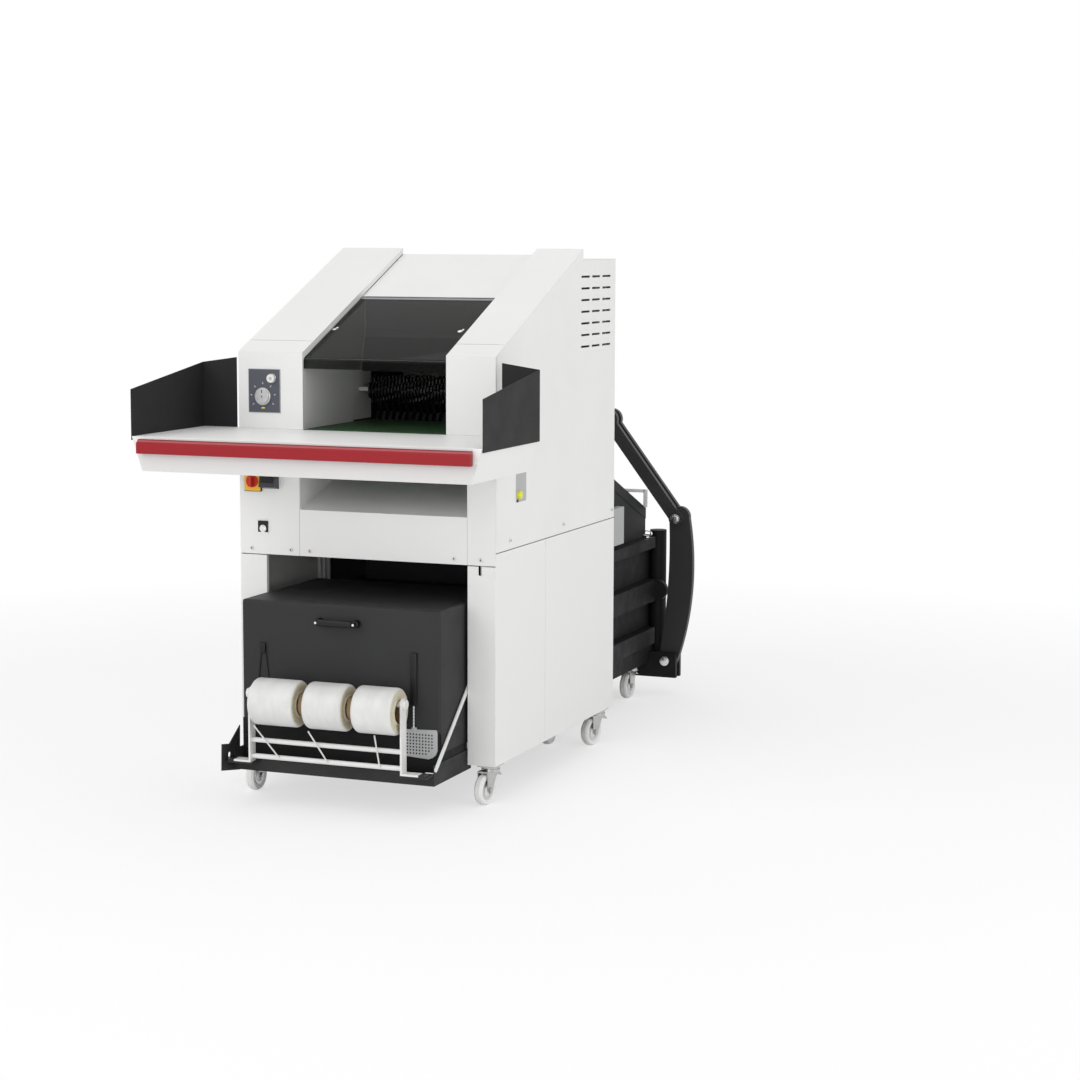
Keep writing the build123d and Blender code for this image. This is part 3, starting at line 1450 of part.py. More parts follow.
def roll_holder():
    """White frame: two flat arms with feet and two round bars between them."""
    x0 = holder_half_w - holder_t / 2
    x1 = holder_half_w + holder_t / 2
    end_z = holder_z1 - holder_w / 2
    arm = block(x0, x1, lug_y0, lug_y0 + holder_w, holder_z0, end_z)
    arm += bar_x(x0, x1, holder_y, end_z, holder_w / 2)
    arm += block(
        holder_half_w, cheek_x0 - roll_bevel, lug_y0, lug_y0 + holder_w, holder_z0, holder_z0 + holder_t)
    frame = arm + mirrored(arm)
    for z in (upper_bar_z, lower_bar_z):
        frame += bar_x(-holder_half_w, holder_half_w, holder_y, z, holder_bar_r)
    end = holder_half_w + holder_t
    return frame - bar_x(-end, end, holder_y, axle_z, roll_axle_r)


axle_end = holder_half_w + collar_x
axle = bar_x(-holder_half_w - holder_t, holder_half_w + holder_t, holder_y, axle_z, roll_axle_r)
axle += bar_x(-axle_end, -holder_half_w - holder_t / 2, holder_y, axle_z, collar_r)
axle += bar_x(holder_half_w + holder_t / 2, axle_end, holder_y, axle_z, collar_r)
pieces["roll_holder"] = [roll_holder() + axle, stay]

# Twine rolls
roll_z = axle_z + roll_axle_r + seat - (core_r - core_t)
roll_xs = (-roll_pitch, 0.0, roll_pitch)


def twine_roll(x):
    """Wound twine on its core tube, hanging on the axle."""
    x0 = x - roll_l / 2
    x1 = x + roll_l / 2
    wound = bar_x(x0, x1, holder_y, roll_z, roll_r)
    wound = chamfer(wound.edges().filter_by(GeomType.CIRCLE), roll_bevel)
    wound -= bar_x(x0 - over, x1 + over, holder_y, roll_z, core_r)
    tube = bar_x(x0 - core_lap, x1 + core_lap, holder_y, roll_z, core_r)
    return [wound, tube - bar_x(x0 - roll_l, x1 + roll_l, holder_y, roll_z, core_r - core_t)]


for i, x in enumerate(roll_xs):
    pieces["twine_roll_" + str(i + 1)] = twine_roll(x)

# Strands from the rolls to the lower bar
strand_y = holder_y - holder_bar_r - strand_r - seat
strands = ((-252.0, 262.0, -168.0), (-62.0, 258.0, 0.0), (166.0, 262.0, 178.0))
cords = []
for x0, z0, x1 in strands:
    a = Vector(x0, strand_y - 12, z0)
    b = Vector(x1, strand_y, lower_bar_z)
    cords.append(Solid.make_cylinder(strand_r, (b - a).length, Plane(origin=a, z_dir=b - a)))
pieces["twine_strands"] = cords

# Binding tools on the hood's front
tool_y = hood_front_y - seat
paddle_x0 = 224.0
paddle_x1 = 333.0
paddle_z0 = 183.0
paddle_z1 = 270.0
paddle_t = 4.0
paddle_notch_x = 300.0
paddle_notch_z = 200.0
hole_w = 8.0
hole_columns = 5
hole_rows = 4
hole_pitch_x = 17.0
hole_pitch_z = 14.0
neck_x = 278.0
neck_w = 12.0
neck_z1 = 364.0
tool_grip_w = 24.0
tool_grip_t = 8.0
tool_z1 = 512.0
needle_x = -274.0
needle_t = 5.0
needle_half = ((12.0, 512.0), (12.0, 480.0), (16.0, 420.0), (18.0, 358.0))


def cleaning_paddle():
    """Perforated blade on a narrow neck with a flat grip."""
    cut_y0 = tool_y - paddle_t - over
    blade = block(paddle_x0, paddle_x1, tool_y - paddle_t, tool_y, paddle_z0, paddle_z1)
    blade -= block(
        paddle_notch_x, paddle_x1 + over, cut_y0, tool_y + over, paddle_z0 - over, paddle_notch_z)
    for i in range(hole_columns):
        for j in range(hole_rows):
            x = paddle_x0 + hole_pitch_x * (i + 0.9)
            z = paddle_z0 + hole_pitch_z * (j + 1.8)
            blade -= block(
                x - hole_w / 2, x + hole_w / 2, cut_y0, tool_y + over, z - hole_w / 2, z + hole_w / 2)
    neck = block(neck_x - neck_w / 2, neck_x + neck_w / 2, tool_y - tool_grip_t, tool_y, paddle_z1, neck_z1)
    half = tool_grip_w / 2
    return blade + neck + block(neck_x - half, neck_x + half, tool_y - tool_grip_t, tool_y, neck_z1, tool_z1)


def needle():
    """Tapered needle with a flat grip."""
    right = [(needle_x + w, z) for w, z in needle_half]
    left = [(needle_x - w, z) for w, z in needle_half[::-1]]
    return face_xz(right + left, tool_y - needle_t, tool_y)


pieces["binding_tools"] = [cleaning_paddle(), needle()]

# Bolts of the clamp's lower pivots and the screws of the covers
screw_r = 5.0
screw_h = 2.5
screw_up = 20.0  # above the fascia's lower edge
side_screw_up = 30.0  # above the seam
front_screw_xs = (-408.0, -266.0, -198.0, 309.0, 401.0)
side_screw_ys = (121.0, 601.0, 1085.0)
bolts = []
for x in (-pivot_x, pivot_x):
    y0 = arm_front_y
    y1 = arm_rear_y + bracket_t
    bolt = bar_y(x, y0, y1, pivot_z, pivot_bolt_r)
    bolt += hexagon_y(x, y0 - pivot_head_t, y0, pivot_z, pivot_head_r)
    bolt += hexagon_y(x, y1, y1 + pivot_head_t, pivot_z, pivot_head_r)
    bolts.append(bolt)
for x in front_screw_xs:
    bolts.append(bar_y(x, -screw_h, 0, fascia_z + screw_up, screw_r))
for y in side_screw_ys:
    bolts.append(bar_x(half_w, half_w + screw_h, y, seam_z + side_screw_up, screw_r))
    bolts.append(bar_x(-half_w - screw_h, -half_w, y, seam_z + side_screw_up, screw_r))
pieces["fasteners"] = bolts

# Write every node, centred on the machine's plan
length_centre = (bar_front_y + outlet_post_y + post_r) / 2
to_centre = Pos(0, -length_centre, 0)
for name, piece in pieces.items():
    solids = piece if isinstance(piece, list) else [piece]
    moved = [to_centre * s for s in solids]
    result = moved[0] if len(moved) == 1 else Compound(children=moved)
    export_step(result, os.path.join("parts", name + ".step"))
print(len(pieces), "nodes, length centre", length_centre)
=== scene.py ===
import json
import math

import bmesh
import bpy
from mathutils import Matrix, Vector

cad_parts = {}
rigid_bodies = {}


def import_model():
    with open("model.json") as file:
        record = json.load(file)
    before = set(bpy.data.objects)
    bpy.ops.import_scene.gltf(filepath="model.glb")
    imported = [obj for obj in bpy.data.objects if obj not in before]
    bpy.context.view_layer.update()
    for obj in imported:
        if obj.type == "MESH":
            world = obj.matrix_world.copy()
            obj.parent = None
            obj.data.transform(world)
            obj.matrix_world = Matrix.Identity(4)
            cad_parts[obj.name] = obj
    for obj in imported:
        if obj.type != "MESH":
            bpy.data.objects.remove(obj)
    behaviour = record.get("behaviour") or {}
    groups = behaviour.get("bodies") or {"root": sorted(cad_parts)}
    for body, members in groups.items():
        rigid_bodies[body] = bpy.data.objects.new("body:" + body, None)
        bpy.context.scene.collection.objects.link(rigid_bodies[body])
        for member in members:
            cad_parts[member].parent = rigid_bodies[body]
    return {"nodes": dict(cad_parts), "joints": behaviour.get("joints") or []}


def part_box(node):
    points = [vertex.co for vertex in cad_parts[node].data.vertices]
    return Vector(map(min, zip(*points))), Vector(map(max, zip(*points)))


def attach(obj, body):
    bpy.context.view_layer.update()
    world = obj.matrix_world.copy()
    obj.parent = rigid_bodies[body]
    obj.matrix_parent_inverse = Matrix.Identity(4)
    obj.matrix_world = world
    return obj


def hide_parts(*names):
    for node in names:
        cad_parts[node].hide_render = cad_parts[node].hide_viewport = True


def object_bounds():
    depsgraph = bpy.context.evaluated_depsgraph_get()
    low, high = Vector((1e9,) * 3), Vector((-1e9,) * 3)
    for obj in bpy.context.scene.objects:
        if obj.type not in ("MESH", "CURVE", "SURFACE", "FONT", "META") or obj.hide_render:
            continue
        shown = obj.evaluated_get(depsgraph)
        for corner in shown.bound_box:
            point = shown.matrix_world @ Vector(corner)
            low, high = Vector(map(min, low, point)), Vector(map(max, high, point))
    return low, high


bl_info = {
    "name": "Recycling baler dressing",
    "version": (1, 0, 0),
    "blender": (4, 5, 0),
    "location": "View3D > Sidebar > Baler",
    "description": "Finishes, fittings, twine and photo stage of a shredder tower over a channel baler",
    "category": "Object",
}

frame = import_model()
cad_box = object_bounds()

MACHINE = "machine"  # the body of everything that stands still
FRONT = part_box("front_covers")[0].y  # the tower's front plane
SMOOTH = math.radians(32)
BOLTED = 0.0002  # how far a fitting stands off the face that carries it
ALONG, OUT, UP = Vector((1, 0, 0)), Vector((0, -1, 0)), Vector((0, 0, 1))  # across the front, towards the user, up
FAR = 9.0  # metres beyond which a zone has no limit
OPEN = 9999  # millimetres on a side where a zone has no limit
DARK = (0.012, 0.012, 0.012)  # black paint at the roll holder's ends, and painted shade inside the machine
PANEL = (0.42, 0.43, 0.43)  # grey of small boxes, and of the painted shade in the side recess
SLOPE_FOOT, SLOPE_RISE, SLOPE_RUN = 1424.0, 331.0, 783.0  # the tower's sloping front, in millimetres
ROLL_CORES = (0.007, 0.027, 0.027)  # how far each card core stands out of its wound twine
DIAL_MARKS = ((0.0, 0.0024, 12), (0.0045, 0.0012, 8))  # step outward, radius and sides of the dial's marks
FIRST_MARK, MARK_STEP = -33, 41.5  # degrees round the dial
CLEAR_X = 0.003  # between the visor's sheet and the pillars on each side
HOOD_FACE = -192.2  # just before the hood's front, in millimetres
EYE_X, EYE_Y, EYE_FOOT = 277, 1996, 624.2  # the lifting eyes' studs
FRONT_SCREWS, FRONT_SCREW_Z = (-408, -266, -198, 309, 401), 785
SIDE_SCREWS, SIDE_SCREW_Z = (121, 601, 1085), 836


def at(x, y, z):
    """A point in metres from the tower's centre line, its front plane and the floor, all in millimetres."""
    return Vector((x / 1000, FRONT + y / 1000, z / 1000))


# Sizes and colours


def tint(name, description, value):
    """A property that holds a colour."""
    return bpy.props.FloatVectorProperty(name=name, description=description, subtype="COLOR", default=value)


def length(name, description, value):
    """A property in metres."""
    return bpy.props.FloatProperty(name=name, description=description, unit="LENGTH", default=value)


def watts(name, description, value):
    """A property that holds a lamp's power."""
    return bpy.props.FloatProperty(name=name, description=description, unit="POWER", default=value)


class CasingColours(bpy.types.PropertyGroup):
    """Paints of the casing, the press and the guards."""

    white: tint("White", "Powder coat of the tower", (0.79, 0.79, 0.78))
    black: tint("Black", "Powder coat of the press", (0.013, 0.013, 0.0135))
    guard: tint("Guard", "Paint of the table wings", (0.020, 0.020, 0.0205))
    hood: tint("Hood", "Paint of the press hood", (0.027, 0.0272, 0.0276))
    bar: tint("Safety bar", "Red of the safety bar", (0.30, 0.012, 0.018))
    plate: tint("Control plate", "Grey of the printed plate", (0.080, 0.085, 0.105))
    belt: tint("Belt", "Green of the conveyor belt", (0.010, 0.048, 0.012))
    visor: tint("Visor", "Tint of the smoked sheet", (0.16, 0.165, 0.15))
    twine: tint("Twine", "White of the wound twine", (0.70, 0.70, 0.69))
    core: tint("Core", "Tan of the roll cores", (0.28, 0.19, 0.10))
    wheel: tint("Wheel", "Pale grey of the caster wheels", (0.82, 0.82, 0.81))


class FittingSizes(bpy.types.PropertyGroup):
    """Sizes of the small fittings."""

    twine_diameter: length("Twine diameter", "Thickness of one strand", 0.005)
    roll_rounding: length("Roll rounding", "Radius of a wound roll's shoulders", 0.012)
    bolt_radius: length("Bolt radius", "Across the corners of a clamp bolt's head", 0.0145)
    bolt_height: length("Bolt height", "Height of a clamp bolt's head", 0.009)
    washer_radius: length("Washer radius", "Radius under a clamp bolt's head", 0.0185)
    knob_radius: length("Knob radius", "Radius of the control knob's rim", 0.0285)
    mark_radius: length("Mark radius", "Distance of the dial marks from the knob", 0.042)
    visor_lip: length("Visor lip", "Height of the lip at the visor's front", 0.031)
    ring_pitch: length("Ring pitch", "Distance between the feed roller's rings", 0.0123)
    hood_rounding: length("Hood rounding", "Radius of the hood's folded edges", 0.008)
    screw_radius: length("Screw radius", "Radius of a casing screw's head", 0.006)


class StageSettings(bpy.types.PropertyGroup):
    """Camera, lamps and floor."""

    camera_place: bpy.props.FloatVectorProperty(
        name="Camera place", description="From the tower's datum", subtype="TRANSLATION",
        default=(3.3027, -6.9696, 1.7826))
    camera_yaw: bpy.props.FloatProperty(
        name="Yaw", description="Turn to the machine's left", subtype="ANGLE", default=math.radians(21.2))
    camera_pitch: bpy.props.FloatProperty(
        name="Pitch", description="Tilt below the horizon", subtype="ANGLE", default=math.radians(7.05))
    camera_roll: bpy.props.FloatProperty(
        name="Roll", description="Turn about the line of sight", subtype="ANGLE", default=math.radians(0.19))
    camera_lens: bpy.props.FloatProperty(
        name="Lens", description="Focal length on a 36 mm sensor, in millimetres", default=80.73)
    world_strength: bpy.props.FloatProperty(
        name="World strength", description="Even light from all round", default=0.69)
    key_power: watts("Key power", "Soft box in front, above and to the left", 80.0)
    front_power: watts("Front power", "Soft box low in front", 88.0)
    fill_power: watts("Fill power", "Soft box on the right", 62.0)
    top_power: watts("Top power", "Soft box overhead", 30.0)


GROUPS = (
    ("baler_colours", CasingColours),
    ("baler_fittings", FittingSizes),
    ("baler_stage", StageSettings),
)


# Finishes


class Nodes:
    """A node tree under construction."""

    def __init__(self, tree):
        self.tree = tree

    def node(self, kind, **values):
        """A node with its settings and its unlinked inputs given by name."""
        made = self.tree.nodes.new("ShaderNode" + kind)
        for key, value in values.items():
            if hasattr(made, key):
                setattr(made, key, value)
            else:
                made.inputs[key.replace("_", " ")].default_value = value
        return made

    def link(self, source, target):
        self.tree.links.new(source, target)

    def feed(self, socket, value):
        """Gives an input a value or another node's output."""
        if isinstance(value, bpy.types.NodeSocket):
            self.link(value, socket)
        else:
            socket.default_value = value if isinstance(value, (int, float)) else (*value, 1)

    def math(self, operation, one, two):
        """One arithmetic node; each value may be a number or another node's output."""
        made = self.node("Math", operation=operation)
        self.feed(made.inputs[0], one)
        self.feed(made.inputs[1], two)
        return made.outputs["Value"]

    def seen(self):
        """1 for what the camera sees directly, in a reflection or through a clear sheet, 0 for light."""
        path = self.node("LightPath")
        direct = self.math("MAXIMUM", path.outputs["Is Camera Ray"], path.outputs["Is Glossy Ray"])
        return self.math("MAXIMUM", direct, path.outputs["Is Transmission Ray"])

    def blend(self, factor, one, two, target):
        """Mixes two shaders and links them to an input."""
        mixed = self.node("MixShader")
        self.link(factor, mixed.inputs["Fac"])
        self.link(one, mixed.inputs[1])
        self.link(two, mixed.inputs[2])
        self.link(mixed.outputs["Shader"], target)


class Finish(Nodes):
    """A node material under construction, with its principled shader and Object coordinates."""

    def __init__(self, name):
        self.material = bpy.data.materials.new(name)
        self.material.use_nodes = True
        super().__init__(self.material.node_tree)
        self.shader = self.tree.nodes["Principled BSDF"]
        self.coordinates = self.node("TexCoord")

    def set(self, **values):
        for key, value in values.items():
            self.shader.inputs[key.replace("_", " ")].default_value = value

    def noise(self, scale, detail=3.0, stretch=(1, 1, 1)):
        """Noise on Object coordinates, scale in cycles per metre."""
        mapping = self.node("Mapping", Scale=stretch)
        texture = self.node("TexNoise", Scale=scale, Detail=detail)
        self.link(self.coordinates.outputs["Object"], mapping.inputs["Vector"])
        self.link(mapping.outputs["Vector"], texture.inputs["Vector"])
        return texture.outputs["Fac"]

    def spread(self, source, low, high, start=0.3, end=0.7):
        """The source's middle range, spread from low to high."""
        ranged = self.node("MapRange", From_Min=start, From_Max=end, To_Min=low, To_Max=high)
        self.link(source, ranged.inputs["Value"])
        return ranged.outputs["Result"]

    def mix(self, factor, one, two):
        """Colour that goes from one to two; each may be a colour or another node's output."""
        mixed = self.node("Mix", data_type="RGBA")
        self.link(factor, mixed.inputs["Factor"])
        self.feed(mixed.inputs[6], one)
        self.feed(mixed.inputs[7], two)
        return mixed.outputs[2]

    def bump(self, source, strength, distance):
        raised = self.node("Bump", Strength=strength, Distance=distance)
        self.link(source, raised.inputs["Height"])
        self.link(raised.outputs["Normal"], self.shader.inputs["Normal"])

    def colour(self, source):
        self.link(source, self.shader.inputs["Base Color"])

    def roughness(self, source):
        self.link(source, self.shader.inputs["Roughness"])

    def place(self, axis):
        """The Object coordinate along one axis, 0 to 2, in metres."""
        parts = self.node("SeparateXYZ")
        self.link(self.coordinates.outputs["Object"], parts.inputs["Vector"])
        return parts.outputs[axis]


def shade(colour, factor):
    """The colour made darker or lighter."""
    return tuple(min(1.0, c * factor) for c in colour)


def paint(name, colour, roughness=0.42, grain=0.10, texture=900.0, cloud=0.05, gloss=0.4):
    """Powder coat: a fine orange peel, soft clouds in the tone and a slight change of gloss."""
    coat = Finish(name)
    coat.set(Specular_IOR_Level=gloss)
    clouds = coat.noise(3.2, 4.0)
    coat.colour(coat.mix(clouds, shade(colour, 1 - cloud), shade(colour, 1 + cloud)))
    coat.roughness(coat.spread(coat.noise(11.0), roughness - 0.05, roughness + 0.05))
    coat.bump(coat.noise(texture, 2.0), grain, 0.0004)
    return coat.material


def worn_paint(name, colour, roughness=0.55, gloss=0.12):
    """Press paint: thicker texture, with dust that lightens it in patches and faint vertical smears."""
    coat = Finish(name)
    coat.set(Specular_IOR_Level=gloss)
    dust = coat.spread(coat.noise(5.0, 6.0, (1, 1, 0.4)), 0, 1, 0.45, 0.75)
    coat.colour(coat.mix(dust, colour, shade(colour, 1.35)))
    coat.roughness(coat.spread(coat.noise(18.0, 5.0), roughness - 0.1, roughness + 0.12))
    coat.bump(coat.noise(650.0, 3.0), 0.2, 0.0005)
    return coat.material


def steel(name, colour, roughness=0.3, stretch=(1, 1, 1), scale=240.0):
    """Bare or plated metal with drawn lines."""
    metal = Finish(name)
    metal.set(Metallic=1.0)
    lines = metal.noise(scale, 5.0, stretch)
    metal.colour(metal.mix(lines, shade(colour, 0.82), shade(colour, 1.12)))
    metal.roughness(metal.spread(lines, roughness - 0.08, roughness + 0.14))
    metal.bump(lines, 0.12, 0.0002)
    return metal.material


def plastic(name, colour, roughness=0.4, texture=1200.0, gloss=0.35):
    """Moulded plastic with a fine spark-eroded grain."""
    moulded = Finish(name)
    moulded.set(Specular_IOR_Level=gloss)
    grain = moulded.noise(texture, 2.0)
    moulded.colour(moulded.mix(moulded.noise(14.0), shade(colour, 0.92), shade(colour, 1.08)))
    moulded.roughness(moulded.spread(grain, roughness - 0.06, roughness + 0.08))
    moulded.bump(grain, 0.14, 0.0002)
    return moulded.material


def belt_rubber(name, colour):
    """Conveyor belt: fine fabric impression, darker where waste has polished it."""
    belt = Finish(name)
    across = belt.node("TexWave", wave_type="BANDS", bands_direction="X", Scale=130.0, Distortion=0.6)
    along = belt.node("TexWave", wave_type="BANDS", bands_direction="Y", Scale=130.0, Distortion=0.6)
    for wave in (across, along):
        belt.link(belt.coordinates.outputs["Object"], wave.inputs["Vector"])
    weave = belt.math("MULTIPLY", across.outputs["Fac"], along.outputs["Fac"])
    worn = belt.spread(belt.noise(8.0, 4.0), 0, 1)
    belt.colour(belt.mix(worn, shade(colour, 0.75), shade(colour, 1.25)))
    belt.roughness(belt.spread(weave, 0.55, 0.75, 0, 1))
    belt.bump(weave, 0.35, 0.0006)
    return belt.material


def smoked_sheet(name, colour):
    """Tinted acrylic: clear, glossy, with faint wiping marks."""
    sheet = Finish(name)
    sheet.set(Transmission_Weight=1.0, IOR=1.16)
    smears = sheet.noise(9.0, 5.0, (1, 0.3, 1))
    sheet.colour(sheet.mix(smears, shade(colour, 0.93), shade(colour, 1.05)))
    sheet.roughness(sheet.spread(smears, 0.01, 0.05))
    return sheet.material


def wound_twine(name, colour):
    """Cross-wound twine under a glossy skin: two sets of slanting threads and uneven tension."""
    wound = Finish(name)
    wound.set(Coat_Weight=0.35, Coat_Roughness=0.25, Sheen_Weight=0.2)
    threads = []
    for lean in (0.5, -0.5):
        mapping = wound.node("Mapping", Rotation=(0, 0, lean))
        wave = wound.node(
            "TexWave", wave_type="BANDS", bands_direction="X", Scale=95.0, Distortion=1.2, Detail=2.0)
        wound.link(wound.coordinates.outputs["Object"], mapping.inputs["Vector"])
        wound.link(mapping.outputs["Vector"], wave.inputs["Vector"])
        threads.append(wave.outputs["Fac"])
    laid = wound.math("MAXIMUM", *threads)
    clouds = wound.noise(26.0, 4.0, (1, 0.5, 0.5))
    wound.colour(wound.mix(wound.spread(clouds, 0, 1), shade(colour, 0.9), shade(colour, 1.04)))
    wound.roughness(wound.spread(clouds, 0.35, 0.55))
    wound.bump(wound.math("ADD", laid, clouds), 0.4, 0.0009)
    return wound.material


def card(name, colour):
    """Pressed cardboard of the roll cores."""
    board = Finish(name)
    fibres = board.noise(160.0, 6.0, (0.3, 1, 1))
    board.colour(board.mix(fibres, shade(colour, 0.7), shade(colour, 1.3)))
    board.roughness(board.spread(fibres, 0.75, 0.95))
    board.bump(fibres, 0.4, 0.0006)
    return board.material


def zoned(name, base, zones, roughness=0.4, gloss=0.2):
    """One node in several finishes, or with painted light and shade: each zone is a colour with the box of metres
    that it covers.
    """
    made = Finish(name)
    made.set(Specular_IOR_Level=gloss)
    grain = made.noise(500.0, 3.0)
    shown = made.mix(grain, shade(base, 0.94), shade(base, 1.06))
    for colour, low, high in zones:
        inside = 1.0
        for axis in range(3):
            for operation, limit in (("GREATER_THAN", low[axis]), ("LESS_THAN", high[axis])):
                if abs(limit) < FAR:
                    inside = made.math("MULTIPLY", inside, made.math(operation, made.place(axis), limit))
        shown = made.mix(inside, shown, colour)
    made.colour(shown)
    made.roughness(made.spread(grain, roughness - 0.06, roughness + 0.1))
    made.bump(grain, 0.12, 0.0003)
    return made.material


# Pieces


def finish_piece(bm, name, body, finish_name, merge=0.0):
    """Writes a bmesh to an object at the origin that rides on its body."""
    if merge:
        bmesh.ops.remove_doubles(bm, verts=bm.verts, dist=merge)
    bmesh.ops.recalc_face_normals(bm, faces=bm.faces)
    mesh = bpy.data.meshes.new(name)
    bm.to_mesh(mesh)
    bm.free()
    mesh.shade_smooth()
    mesh.set_sharp_from_angle(angle=SMOOTH)
    mesh.materials.append(finish(finish_name))
    made = bpy.data.objects.new(name, mesh)
    bpy.context.scene.collection.objects.link(made)
    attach(made, body)
    return made


def round_edges(bm, edges, offset, segments=3):
    """Rounds the edges of a mesh."""
    bmesh.ops.bevel(
        bm, geom=edges, offset=offset, offset_type="OFFSET", segments=segments, profile=0.5, affect="EDGES",
        material=-1)


def new_verts(made):
    """The vertices among what an operator made."""
    return [v for v in made["geom"] if isinstance(v, bmesh.types.BMVert)]


def add_prism(bm, points, depth):
    """Flat outline that is pushed along a vector."""
    face = bm.faces.new([bm.verts.new(p) for p in points])
    made = bmesh.ops.extrude_face_region(bm, geom=[face])
    bmesh.ops.translate(bm, verts=new_verts(made), vec=depth)


def add_box(bm, low, high, rounding=0.0):
    """Box between two corners, with its edges rounded."""
    size = high - low
    matrix = Matrix.Translation((low + high) / 2) @ Matrix.Diagonal((*size, 1))
    made = bmesh.ops.create_cube(bm, size=1.0, matrix=matrix)
    if rounding:
        round_edges(bm, list({e for v in made["verts"] for e in v.link_edges}), rounding)


def turned_to(axis):
    """Rotation that lays a local Z along an axis."""
    return UP.rotation_difference(Vector(axis)).to_matrix().to_4x4()


def add_disc(bm, centre, axis, radius, height, segments=32, rounding=0.0, top=None):
    """Disc or prism that stands on its centre point along an axis, with its upper rim rounded."""
    matrix = Matrix.Translation(Vector(centre) + Vector(axis) * height / 2) @ turned_to(axis)
    made = bmesh.ops.create_cone(
        bm, cap_ends=True, segments=segments, radius1=radius, radius2=top or radius, depth=height,
        matrix=matrix)
    if rounding:
        end = Vector(centre) + Vector(axis) * height
        rim = {e for v in made["verts"] for e in v.link_edges}
        rim = [e for e in rim if all(abs((v.co - end).dot(Vector(axis))) < 1e-6 for v in e.verts)]
        round_edges(bm, rim, rounding)


def add_turned(bm, centre, axis, profile, steps=48):
    """Closed ring whose section is spun round an axis; profile holds (along, radius) pairs."""
    turn = turned_to(axis)
    points = [Vector(centre) + turn @ Vector((radius, 0, along)) for along, radius in profile]
    verts = [bm.verts.new(p) for p in points]
    edges = [bm.edges.new((a, b)) for a, b in zip(verts, verts[1:] + verts[:1])]
    bmesh.ops.spin(
        bm, geom=verts + edges, cent=centre, axis=axis, angle=math.tau, steps=steps, use_merge=True,
        use_duplicate=False)


def middle(node):
    """Centre of a node's box."""
    low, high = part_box(node)
    return (low + high) / 2


def colours():
    return bpy.context.scene.baler_colours


def fittings():
    return bpy.context.scene.baler_fittings


made_finishes = {}


